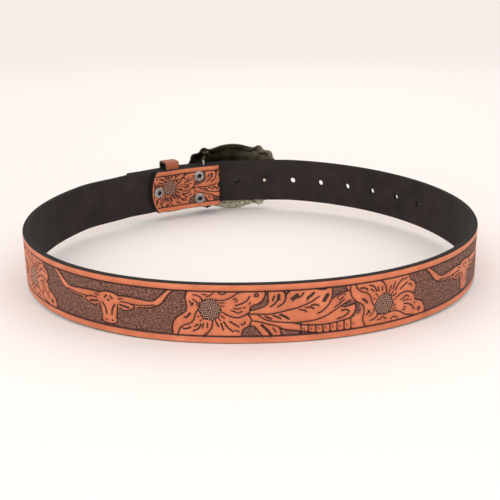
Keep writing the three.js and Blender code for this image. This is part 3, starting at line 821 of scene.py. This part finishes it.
# The sunk ground between the motifs, as outlines within one repeat
def groundCells():
    margin = [flipFlower(flowerMargin[k])[::d] for k, d in (("lowerRight", -1), ("upperRight", -1))]
    wide = [(s - tooling["repeat"], z) for part in margin for s, z in part]
    return [
        wide + flowerMargin["left"][::-1],
        [(8.5, 34.7), (8.2, 30.6), (6.5, 27.4), (3.5, 25.3), (0, 24.1), (-0.9, 21.2), (4.7, 22.6),
         (8.8, 24.7), (10, 26.5), (9.8, 30.6), (9.6, 34.7)],
        [(-6.2, 4.7), (-5, 9.4), (-1.8, 11.2), (1.5, 11.2), (4.1, 8.2), (6.2, 4.7)],
        [(17.7, 34.7), (19.6, 32.4), (20.3, 30.4), (21.5, 31.8), (23.8, 33.5), (27.9, 34.7)],
        [(36.4, 34.8), (39.1, 33.3), (43.2, 32.4), (46.8, 33.6), (48, 34.8)],
        [(18, 9.4), (20.3, 8.5), (25.6, 7.6), (32.6, 6.3), (39.7, 4.7), (18.2, 4.7)],
        [(48.6, 34.7), (48.8, 31.2), (48.9, 26.4), (50.9, 27.6), (53.8, 29.2), (57.9, 29.6), (57.4, 31.4),
         (57.3, 34.7)],
        [(54.8, 20.1), (57.4, 22.7), (60.4, 23.9), (62.6, 23.2), (66.6, 20.3), (67.3, 17.2), (66.8, 14.4),
         (65, 13.2), (62.6, 13.4), (63.2, 15.9), (63.9, 18.8), (63.2, 21.1), (60.3, 20.4)],
    ]


def seedPlaces():
    s0, z0 = seedField["middle"]
    ratio = seedField["halfHeight"] / seedField["halfLength"]
    count = int(seedField["halfLength"] ** 2 / (0.32 * seedField["pitch"] ** 2))
    turn = np.arange(count) * seedField["turn"]
    reach = seedField["halfLength"] * np.sqrt((np.arange(count) + 0.5) / count)
    return [(s0 + r * math.cos(t), z0 + r * ratio * math.sin(t)) for r, t in zip(reach, turn)]


def repeatRange():
    first = math.floor((flapEnd - 130) / tooling["repeat"])
    last = math.ceil((tongueEnd + 130) / tooling["repeat"])
    return range(first, last + 1)


outline = outlineLoop()
patternLoop = offsetLoop(outline, tooling["endMargin"])
openLoops = strapLoops()[1:]


def betweenBorders(points):
    low, high = tooling["border"], strap["width"] - tooling["border"]
    return (points[:, 1] > low) & (points[:, 1] < high) & insideLoop(points, patternLoop)


def clearOfHoles(points, margin):
    clear = np.ones(len(points), bool)
    for ring in openLoops:
        near = np.abs(points[:, 0] - ring[:, 0].mean()) < tooling["holeSearch"]
        clear &= ~(near & insideLoop(points, offsetLoop(ring, -margin)))
    return clear


def withinBorder(points):
    return betweenBorders(points) & clearOfHoles(points, tooling["holeMargin"])


def clipLine(line):
    keep = withinBorder(line)
    parts, current = [], []
    for point, good in zip(line, keep):
        if good:
            current.append(point)
        else:
            if len(current) > 1:
                parts.append(np.array(current))
            current = []
    if len(current) > 1:
        parts.append(np.array(current))
    return parts


def layOutTooling():
    chart = skullStrokes() + flowerStrokes() + leafStrokes()
    chart += [(width, flipFlower(points)) for width, points in flowerStrokes()]
    lines, widths = [], []
    for width, points in chart:
        line = smoothLine(points)
        for turn in repeatRange():
            moved = line + [turn * tooling["repeat"], 0]
            if moved[:, 0].max() < flapEnd or moved[:, 0].min() > tongueEnd:
                continue
            for part in clipLine(moved):
                lines.append(part)
                widths.append(width * tooling["cutWidth"])
    for width, points in flapStrokes():
        for part in clipLine(smoothLine(points)):
            if part[:, 0].max() < foldPlace - veins["fromEnd"]:
                lines.append(part)
                widths.append(width * tooling["cutWidth"])
    run = np.arange(flapEnd + 1, tongueEnd - 1, 1.5)
    for height in (tooling["border"], strap["width"] - tooling["border"]):
        border = np.column_stack([run, np.full(len(run), height)])
        lines.append(border[insideLoop(border, patternLoop)])
        widths.append(tooling["borderWidth"])
    seeds = seedPlaces()
    seeds += flipFlower(seeds)
    spots = np.concatenate([np.array(seeds) + [turn * tooling["repeat"], 0] for turn in repeatRange()])
    return lines, widths, spots[withinBorder(spots)]


cutLines, cutWidths, seedSpots = layOutTooling()
print("flat strap:", round(tongueEnd - flapEnd), "by", strap["width"], "mm")
print("tooling charted:", len(cutLines), "cuts,", len(seedSpots), "seeds")


def besideLine(line, gap):
    run = np.gradient(line, axis=0)
    run /= np.maximum(np.linalg.norm(run, axis=1, keepdims=True), 1e-9)
    across = np.stack([-run[:, 1], run[:, 0]], -1) * gap
    ends = np.array([line[0] - run[0] * gap, line[-1] + run[-1] * gap])
    return np.concatenate([line + across, line - across, ends])


def toolingMarks():
    marks = [besideLine(line, 0.56 * width) for line, width in zip(cutLines, cutWidths)]
    turn = np.arange(6) * math.pi / 3
    ring = np.stack([np.cos(turn), np.sin(turn)], -1)
    for share in (0.5, 1.0):
        marks.append((seedSpots[:, None] + ring * seedField["radius"] * share).reshape(-1, 2))
    marks.append(seedSpots)
    s = np.arange(flapEnd + 1, tongueEnd - 1, tooling["meshPitch"])
    z = np.arange(1.4, strap["width"] - 1, tooling["meshPitch"])
    grid = np.stack(np.meshgrid(s, z), -1)
    grid[1::2, :, 0] += tooling["meshPitch"] / 2
    marks.append(grid.reshape(-1, 2))
    marks = np.concatenate(marks)
    return marks[insideLoop(marks, offsetLoop(outline, 1.0)) & clearOfHoles(marks, 0.7)]


# Distance from each point to the nearest cut, measured in widths of that cut, worked out bin by bin
def gapToCuts(points):
    starts = np.concatenate([line[:-1] for line in cutLines])
    ends = np.concatenate([line[1:] for line in cutLines])
    widths = np.concatenate([np.full(len(line) - 1, w) for line, w in zip(cutLines, cutWidths)])
    middle = (starts[:, 0] + ends[:, 0]) / 2
    best, cutAt = np.full(len(points), 9.0), np.zeros(len(points))
    for low in np.arange(flapEnd - 5, tongueEnd + 5, 6.0):
        here = np.nonzero((points[:, 0] >= low) & (points[:, 0] < low + 6))[0]
        near = np.nonzero((middle > low - 5) & (middle < low + 11))[0]
        if not len(here) or not len(near):
            continue
        a, run = starts[near], ends[near] - starts[near]
        offset = points[here][:, None] - a
        t = np.clip(np.sum(offset * run, 2) / np.maximum(np.sum(run * run, 1), 1e-9), 0, 1)
        gap = np.linalg.norm(offset - t[..., None] * run, axis=2)
        best[here] = gap.min(1)
        depth = np.clip(1 - gap / (0.55 * widths[near]), 0, 1)
        depth = depth * np.minimum(widths[near] / tooling["cutWidth"], 1.5)
        cutAt[here] = depth.max(1)
    return best, cutAt


def groundMask(points):
    mask = np.zeros(len(points), bool)
    skull = np.array(skullOutline())
    for turn in repeatRange():
        move = np.array([turn * tooling["repeat"], 0])
        for cell in groundCells():
            mask |= insideLoop(points - move, np.array(cell))
        mask &= ~insideLoop(points - move, skull)
    return mask & betweenBorders(points)


def toolRelief(flat):
    gap, cutAt = gapToCuts(flat)
    ground = groundMask(flat).astype(float)
    spotGap = np.full(len(flat), 9.0)
    for spot in seedSpots:
        near = np.abs(flat[:, 0] - spot[0]) < 1.6
        spotGap[near] = np.minimum(spotGap[near], np.linalg.norm(flat[near] - spot, axis=1))
    field = spotGap < seedField["pitch"] * 0.8
    dome = np.sqrt(np.clip(1 - (spotGap / seedField["radius"]) ** 2, 0, 1))
    swell = 0.22 * (1 - np.exp(-gap / 1.6)) - 0.2
    height = swell * (1 - ground) - ground * tooling["groundDepth"]
    height = np.where(field, -0.5 + 0.45 * dome, height)
    height = height - tooling["cutDepth"] * cutAt
    edgeGap = np.minimum(flat[:, 1], strap["width"] - flat[:, 1])
    rim = edgeGap < tooling["border"] - 0.4
    height = np.where(rim, np.minimum(-0.02, -tooling["cutDepth"] * cutAt), height)
    cut = np.where(field, np.clip(1.15 - 2.2 * dome, 0, 1), np.clip(cutAt * 1.25, 0, 1))
    shade = np.exp(-gap / 1.1) * (1 - ground)
    seed = dome * field
    return {"height": height, "cut": cut, "ground": ground, "shade": shade, "seed": seed}


def makeStrap():
    lines = [smoothLine(line) if len(line) < 3 else line for line in cutLines]
    return makeSheet(
        "tooled_strap", strapLoops(), toolingMarks(), lines, toolRelief, 0.0, 1.0, strap["leather"], 0.9,
        materials["tooled"], ["strap"])


def makeLining():
    s = np.arange(flapEnd + 2, tongueEnd - 2, 2.2)
    z = np.arange(2.4, strap["width"] - 2, 3.2)
    grid = np.stack(np.meshgrid(s, z), -1).reshape(-1, 2)
    keep = insideLoop(grid, offsetLoop(outline, 1.2)) & clearOfHoles(grid, 1.0)
    return makeSheet(
        "strap_back", strapLoops(), grid[keep], [], lambda flat: {"height": np.zeros(len(flat))},
        -strapThickness, -1.0, strap["lining"], 0.6, materials["lining"], ["strap_lining"])


strapPiece = makeStrap()
print("strap:", len(strapPiece.data.polygons), "faces")
liningPiece = makeLining()
print("lining:", len(liningPiece.data.polygons), "faces")


# A point in the belt's frame from a place on the loop: along it, outwards and up
def loopToPart(arc, sideways, outwards, up):
    point, tangent, normal = loopPlace(arc)
    flat = point + np.outer(sideways, tangent) + np.outer(outwards, normal)
    return toPart(np.column_stack([flat, np.broadcast_to(up, len(flat))]))


# Rows of points joined into a skin; each row closes on itself, and so may the stack of rows
def skinRows(rowCount, rowLength, closed):
    faces = []
    for i in range(rowCount if closed else rowCount - 1):
        for j in range(rowLength):
            a, b = i * rowLength + j, i * rowLength + (j + 1) % rowLength
            above = ((i + 1) % rowCount) * rowLength
            faces.append((a, b, above + (j + 1) % rowLength, above + j))
    return faces


def makeKeeper():
    clear, wall = keeperPlan["clearance"], keeperPlan["wall"]
    outside = clear - float(tongueInset(keeperArc))
    inside = -(float(anchorInset(keeperArc)) + strapThickness + clear)
    low, high = -keeperPlan["drop"], strap["width"] + keeperPlan["rise"]
    corner = keeperPlan["corner"] - wall / 2
    left, right, bottom, top = inside - wall / 2, outside + wall / 2, low - wall / 2, high + wall / 2
    path, normals = [], []
    corners = [(right - corner, bottom + corner), (right - corner, top - corner),
               (left + corner, top - corner), (left + corner, bottom + corner)]
    for i, (cx, cy) in enumerate(corners):
        for step in range(9):
            turn = math.radians(90 * (i - 1) + step * 11.25)
            normals.append((math.cos(turn), math.sin(turn)))
            path.append((cx + corner * math.cos(turn), cy + corner * math.sin(turn)))
        if i % 2 == 0:  # the long sides, up in front and down behind
            for y in np.linspace(cy, corners[i + 1][1], 12)[1:-1]:
                path.append((path[-1][0], y))
                normals.append((1 - i, 0))
    half, thick = keeperPlan["length"] / 2, wall / 2
    section = []
    for sx, sy, first in ((1, -1, -90), (1, 1, 0), (-1, 1, 90), (-1, -1, 180)):
        for step in range(5):
            turn = math.radians(first + step * 22.5)
            section.append((sx * (half - 0.7) + 0.7 * math.cos(turn),
                            sy * (thick - 0.7) + 0.7 * math.sin(turn)))
    section = np.array(section)
    crown = 0.12 * (1 - (section[:, 0] / half) ** 2)
    points, edge, inner = [], [], []
    for (x, z), (nx, nz) in zip(path, normals):
        lift = section[:, 1] + np.where(section[:, 1] > 0, crown - 0.12, 0)
        points.append(loopToPart(keeperArc, section[:, 0], x + nx * lift, z + nz * lift))
        edge.append((np.abs(section[:, 0]) > half - 0.62).astype(float))
        inner.append((section[:, 1] < -0.5 * thick).astype(float))
    faces = skinRows(len(path), len(section), True)
    return finishPiece("leather_keeper", np.concatenate(points), faces, materials["keeper"],
                       ["keeper"],
                       {"edge": np.concatenate(edge), "inner": np.concatenate(inner)})


# A turned piece: rings of the profile round an axis through a place on the flap
def turnedRows(profile, sides):
    turn = np.linspace(0, 2 * math.pi, sides, endpoint=False)
    rows = [np.stack([r * np.cos(turn), r * np.sin(turn), np.full(sides, z)], -1) for r, z in profile]
    faces = skinRows(len(rows), sides, False)
    total = len(rows) * sides
    faces.append(tuple(range(sides)))
    faces.append(tuple(range(total - sides, total))[::-1])
    return np.concatenate(rows), faces


snapForm = {"flange": 4.75, "eye": 1.9, "height": 1.35, "clearance": 0.2, "sides": 48}


def makeSnap(number, arc, height):
    flange, eye, tall = snapForm["flange"], snapForm["eye"], snapForm["height"]
    sit = -snapForm["clearance"]
    profile = [(2.3, 1.6), (2.3, sit), (flange - 0.35, sit), (flange - 0.08, sit - 0.12), (flange, -0.42),
               (flange - 0.1, -0.62), (flange - 0.5, -0.86), (flange - 1.1, -1.0), (flange - 1.5, -0.98),
               (flange - 1.75, -0.9), (flange - 1.95, -0.98), (eye + 0.85, -tall + 0.1), (eye + 0.7, -tall),
               (eye + 0.4, -tall), (eye + 0.12, -tall + 0.12), (eye, -tall + 0.4),
               (eye, 1.5), (eye - 0.2, 1.6)]
    points, faces = turnedRows(profile, snapForm["sides"])
    outwards = -float(flapInset(arc)) + points[:, 2]
    placed = loopToPart(arc, points[:, 0], outwards, height + points[:, 1])
    # Painted shade: the bore's inner wall is marked to be coloured near black.
    painted_bore_shade = (np.hypot(points[:, 0], points[:, 1]) < eye + 0.06) & (points[:, 2] > 0.2 - tall)
    return finishPiece(f"snap_ring_{number}", placed, faces, materials["nickel"],
                       [f"snap_{number}"], {"painted_bore_shade": painted_bore_shade.astype(float)})


makeKeeper()
for number, (arc, _, height) in enumerate(snapPlaces(), 1):
    makeSnap(number, arc, height)
print("keeper and snaps made")


# Buckle plate

plate = {
    "halfWidth": 41, "halfHeight": plateHalfHeight, "bend": 230, "standOff": 3, "rim": 2.6, "bead": 1.1,
    "dome": 3.6, "hollow": 1.4, "around": 288,
}
plateQuarter = [(0, 1), (0.2, 0.975), (0.36, 0.92), (0.47, 0.88), (0.54, 0.885), (0.61, 0.93), (0.69, 0.9),
                (0.73, 0.82), (0.79, 0.775), (0.87, 0.765), (0.93, 0.7), (0.955, 0.57), (1, 0.46), (1, 0.22)]


def plateRing():
    quarter = [(a * plate["halfWidth"], b * plate["halfHeight"]) for a, b in plateQuarter]
    half = quarter + [(plate["halfWidth"], 0)] + [(x, -y) for x, y in quarter[:0:-1]]
    points = half + [(0, -plate["halfHeight"])] + [(-x, -y) for x, y in half[1:]]
    points = np.array(points)
    line = smoothLine(np.concatenate([points[-3:], points, points[:4]]), 0.5)
    gone = np.concatenate([[0], np.cumsum(np.linalg.norm(np.diff(line, axis=0), axis=1))])
    first = np.argmin(np.linalg.norm(line[:len(line) // 3] - points[0], axis=1))
    last = len(line) // 2 + np.argmin(np.linalg.norm(line[len(line) // 2:] - points[0], axis=1))
    steps = np.linspace(gone[first], gone[last], plate["around"], endpoint=False)
    return np.stack([np.interp(steps, gone, line[:, 0]), np.interp(steps, gone, line[:, 1])], -1)


def plateInset(arc):
    middle, tangent, normal = loopPlace(buckleArc)
    offset = loopPlace(arc)[0] - middle
    bend = (offset @ tangent) ** 2 / (2 * plate["bend"])
    return float(tongueInset(buckleArc) - plate["standOff"] + bend + offset @ normal)


def plateToPart(points):
    bent = points[:, 2] - points[:, 0] ** 2 / (2 * plate["bend"])
    outwards = bent - plateInset(buckleArc)
    return loopToPart(buckleArc, points[:, 0], outwards, middleHeight + plateLift + points[:, 1])


# Front relief: rope rim, bead row, fluted field and an eight-petalled rosette on the dome
def plateFront(share, turn, around):
    rim, dome = plate["rim"], plate["dome"]
    base = rim + dome * np.clip(1 - (share / 0.78) ** 2, 0, 1) ** 0.8
    rope = np.exp(-((share - 0.915) / 0.045) ** 2)
    twist = 0.5 + 0.5 * np.sin(around * 84 * 2 * math.pi + (share - 0.915) * 55)
    height = base + rope * (plate["bead"] * 0.72 + 0.42 * twist)
    beads = np.exp(-((share - 0.825) / 0.018) ** 2) * (0.5 + 0.5 * np.cos(around * 96 * 2 * math.pi)) ** 0.7
    height += 0.55 * beads
    ring = np.exp(-((share - 0.56) / 0.02) ** 2)
    height += 0.5 * ring
    flute = np.clip((share - 0.58) / 0.03, 0, 1) * np.clip((0.79 - share) / 0.03, 0, 1)
    height -= 0.28 * flute * np.abs(np.sin(turn * 20))
    petal = np.abs(np.cos(turn * 4))
    reach = 0.26 + 0.24 * petal ** 0.6
    height += 0.9 * np.clip((reach - share) / 0.05, 0, 1) * (0.55 + 0.45 * petal) * (share > 0.1)
    height += 1.5 * np.sqrt(np.clip(1 - (share / 0.11) ** 2, 0, 1))
    return height, height - base


# Back: a shallow hollow, with cast scrolls towards one end and along the foot
def plateBack(share, turn, ring):
    hollow = plate["hollow"] * (0.9 * ease(0.95, 0.8, share) + 0.6 * np.clip(1 - share / 0.8, 0, 1))
    ripple = 0.12 * np.sin(turn * 5 + share * 9) * np.clip(1 - share, 0, 1)
    x, y = ring[:, 0] * share, ring[:, 1] * share
    scroll = np.sin(1.5 * x + 1.6 * np.sin(1.1 * y)) * np.cos(1.4 * y + 1.2 * np.sin(0.9 * x))
    where = np.maximum(ease(22, 27, x), ease(-19, -23, y)) * (share < 0.96)
    return hollow + ripple + 0.3 * where * (1 + scroll)


def boxRows(low, high, bevel):
    body = bmesh.new()
    bmesh.ops.create_cube(body, size=1)
    size, middle = np.subtract(high, low), np.add(high, low) / 2
    for v in body.verts:
        v.co = Vector(tuple(np.array(v.co) * size + middle))
    bmesh.ops.bevel(body, geom=body.edges[:], offset=bevel, segments=3, profile=0.5,
                    affect="EDGES", material=-1)
    body.verts.ensure_lookup_table()
    points = np.array([tuple(v.co) for v in body.verts])
    faces = [tuple(v.index for v in f.verts) for f in body.faces]
    body.free()
    return points, faces


bailForm = {"wire": 2.6, "clearance": 0.3, "corner": 2.2, "hingeArc": 5.7, "hingeInset": 1.5, "slack": 4,
            "lugHeight": 2.4, "lugHalf": 3, "overhang": 2.8, "sides": 14}
hingeAxisArc = barArc - bailForm["hingeArc"]
armGap = bailForm["clearance"] + bailForm["wire"] / 2
upperArm = strap["width"] + bailForm["slack"] + armGap
lowerArm = -armGap


def lugPiece(side):
    inner = bailForm["hingeInset"] + bailForm["overhang"]
    reach = inner - plateInset(hingeAxisArc) + 0.75 * plate["rim"]
    half = bailForm["lugHalf"]
    points, faces = boxRows((-half, 0, 0), (half, bailForm["lugHeight"], reach), 0.5)
    foot = upperArm + armGap if side > 0 else lowerArm - armGap - bailForm["lugHeight"]
    return loopToPart(hingeAxisArc, points[:, 0], points[:, 2] - inner, foot + points[:, 1]), faces


def prongPiece():
    foot = plateInset(prongArc) - plate["hollow"] - plate["rim"] / 4
    tip = float(tongueInset(prongArc)) + strapThickness + 0.8
    profile = [(0.9, -tip), (1.35, -tip + 0.15), (1.7, -tip + 0.5), (1.8, -tip + 0.9), (1.8, -foot - 1),
               (2.3, -foot)]
    points, faces = turnedRows(profile, 32)
    return loopToPart(prongArc, points[:, 0], points[:, 2], middleHeight + points[:, 1]), faces


def makePlate():
    ring = plateRing()
    turn = np.arctan2(ring[:, 1] / plate["halfHeight"], ring[:, 0] / plate["halfWidth"])
    around = np.arange(len(ring)) / len(ring)
    frontShares = np.concatenate([np.linspace(0.015, 0.78, 44), np.linspace(0.79, 0.985, 24)])
    backShares = np.concatenate([np.linspace(0.985, 0.55, 44), np.linspace(0.53, 0.02, 16)])
    rows, worn = [], []
    for share in frontShares:
        height, relief = plateFront(share, turn, around)
        rows.append(np.column_stack([ring * share, height]))
        worn.append(np.clip(relief * 0.7, 0, 0.85))
    for share, z in ((1.0, 0.82), (1.0, 0.3)):
        rows.append(np.column_stack([ring * share, np.full(len(ring), plate["rim"] * z)]))
        worn.append(np.full(len(ring), 0.25))
    for share in backShares:
        rows.append(np.column_stack([ring * share, plateBack(share, turn, ring)]))
        worn.append(np.zeros(len(ring)))
    points = plateToPart(np.concatenate(rows))
    faces = skinRows(len(rows), len(ring), False)
    faces.append(tuple(range(len(ring)))[::-1])
    faces.append(tuple(range(len(points) - len(ring), len(points))))
    worn = np.concatenate(worn)
    across = np.concatenate(rows)
    rise, reach = across[:, 1] / plate["halfHeight"], across[:, 0] / plate["halfWidth"]
    # Painted shade and reflection: the back darkens towards its top and one end; the front relief above the
    # rim takes a real patina.
    patina_and_shade = ease(0, 0.8, 0.5 * rise + 0.55 * reach + 0.45)
    patina_and_shade = np.where(across[:, 2] > plate["rim"], 0.8, patina_and_shade)
    # The lugs take painted shade; the prong stays bright bare brass.
    for extra, bright in ((lugPiece(1), 0.0), (lugPiece(-1), 0.0), (prongPiece(), 0.9)):
        faces += [tuple(i + len(points) for i in f) for f in extra[1]]
        worn = np.concatenate([worn, np.full(len(extra[0]), bright)])
        patina_and_shade = np.concatenate([patina_and_shade, np.full(len(extra[0]), 0.9 - bright)])
        points = np.concatenate([points, extra[0]])
    return finishPiece("cast_buckle", points, faces, materials["brass"], ["buckle_plate"],
                       {"worn": worn, "patina_and_shade": patina_and_shade})


def roundCorners(corners, radius, steps=6):
    path = [corners[0]]
    for before, corner, after in zip(corners, corners[1:], corners[2:]):
        a = corner + (before - corner) / np.linalg.norm(before - corner) * radius
        b = corner + (after - corner) / np.linalg.norm(after - corner) * radius
        for t in np.linspace(0, 1, steps):
            path.append((1 - t) ** 2 * a + 2 * t * (1 - t) * corner + t * t * b)
    path.append(corners[-1])
    return np.array(path)


def makeBail():
    point, _, normal = loopPlace(hingeAxisArc)
    hinge = point - normal * bailForm["hingeInset"]
    point, _, normal = loopPlace(barArc)
    bar = point - normal * (anchorInset(barArc) + foldRadius)
    pastLug = armGap + bailForm["lugHeight"] + 1
    corners = [(*hinge, upperArm + pastLug), (*hinge, upperArm), (*bar, upperArm), (*bar, lowerArm),
               (*hinge, lowerArm), (*hinge, lowerArm - pastLug)]
    path = roundCorners([np.array(c, float) for c in corners], bailForm["corner"])
    run = np.gradient(path, axis=0)
    run /= np.linalg.norm(run, axis=1, keepdims=True)
    across = hinge - bar
    side = np.array([-across[1], across[0], 0]) / np.linalg.norm(across)
    sides = bailForm["sides"]
    turn = np.linspace(0, 2 * math.pi, sides, endpoint=False)
    rows, patina_and_shade = [], []
    for place, ahead in zip(path, run):
        # Painted shade: dark away from the bar and above the strap, bright where the bar shows through the
        # slot.
        fromBar = np.linalg.norm(place[:2] - bar)
        overStrap = max(place[2] - strap["width"] - 3, 0)
        patina_and_shade.append(np.full(sides, float(ease(0.3, 1.6, fromBar + overStrap))))
        other = np.cross(ahead, side)
        ring = np.outer(np.cos(turn), side) + np.outer(np.sin(turn), other)
        rows.append(place + bailForm["wire"] / 2 * ring)
    faces = skinRows(len(rows), sides, False)
    faces.append(tuple(range(sides))[::-1])
    faces.append(tuple(range(len(rows) * sides - sides, len(rows) * sides)))
    return finishPiece("wire_bail", toPart(np.concatenate(rows)), faces, materials["wire"],
                       ["buckle_bail"], {"patina_and_shade": np.concatenate(patina_and_shade)})


makePlate()
makeBail()
print("buckle made")


# Studio

studio = {
    "floor": (0.93, 0.905, 0.895), "world": (1.0, 0.93, 0.88), "worldStrength": 1.0,
    "key": {"place": (-0.45, -1.25, 0.5), "size": 0.9, "power": 5},
    "fill": {"place": (0.9, -0.9, 0.45), "size": 0.8, "power": 2},
    "back": {"place": (0.1, 1.1, 1.0), "size": 1.2, "power": 1.5},
}
# The photograph's camera, fitted to the strap's edges: millimetres and pixels of a 500 pixel frame
eye = {
    "distance": 655.74, "elevation": 0.3137, "roll": -0.016, "focal": 868.25,
    "centreX": 250.2, "centreY": 234.9, "frame": 500, "sensor": 36,
}


def makeCamera():
    up, forward = math.sin(eye["elevation"]), math.cos(eye["elevation"])
    place = np.array([0, -eye["distance"] * forward, middleHeight + eye["distance"] * up])
    right, upward = np.array([1.0, 0, 0]), np.array([0, up, forward])
    c, s = math.cos(eye["roll"]), math.sin(eye["roll"])
    right, upward = c * right + s * upward, c * upward - s * right
    axes = leanMatrix @ np.stack([right, upward, np.cross(right, upward)], 1)
    data = bpy.data.cameras.new("camera")
    camera = bpy.data.objects.new("camera", data)
    bpy.context.scene.collection.objects.link(camera)
    matrix = Matrix(axes.tolist()).to_4x4()
    matrix.translation = Vector(toPart(place[None])[0].tolist())
    camera.matrix_world = matrix
    data.sensor_width = eye["sensor"]
    data.lens = eye["focal"] / eye["frame"] * eye["sensor"]
    data.shift_x = (eye["frame"] / 2 - eye["centreX"]) / eye["frame"]
    data.shift_y = (eye["centreY"] - eye["frame"] / 2) / eye["frame"]
    data.clip_start = 0.01
    bpy.context.scene.camera = camera


def makeLight(name, place, size, power):
    data = bpy.data.lights.new(name, "AREA")
    data.shape, data.size, data.energy = "DISK", size, power
    light = bpy.data.objects.new(name, data)
    light.location = place
    light.rotation_euler = (Vector((0, 0, 0.02)) - Vector(place)).to_track_quat("-Z", "Y").to_euler()
    bpy.context.scene.collection.objects.link(light)


def makeStudio():
    world = bpy.context.scene.world or bpy.data.worlds.new("studio")
    bpy.context.scene.world = world
    bpy.context.scene.view_settings.view_transform = "Standard"
    world.use_nodes = True
    background = world.node_tree.nodes["Background"]
    background.inputs["Color"].default_value = (*studio["world"], 1)
    background.inputs["Strength"].default_value = studio["worldStrength"]
    for name in ("key", "fill", "back"):
        makeLight(name, **studio[name])
    body = bmesh.new()
    bmesh.ops.create_grid(body, x_segments=2, y_segments=2, size=40)
    mesh = bpy.data.meshes.new("floor")
    body.to_mesh(mesh)
    body.free()
    floor = bpy.data.objects.new("floor", mesh)
    bpy.context.scene.collection.objects.link(floor)
    material, tree, shader = startMaterial("paleFloor", 0.9, specular=0.1)
    shader.inputs["Base Color"].default_value = (*studio["floor"], 1)
    mesh.materials.append(material)


makeCamera()
makeStudio()
print("studio made")
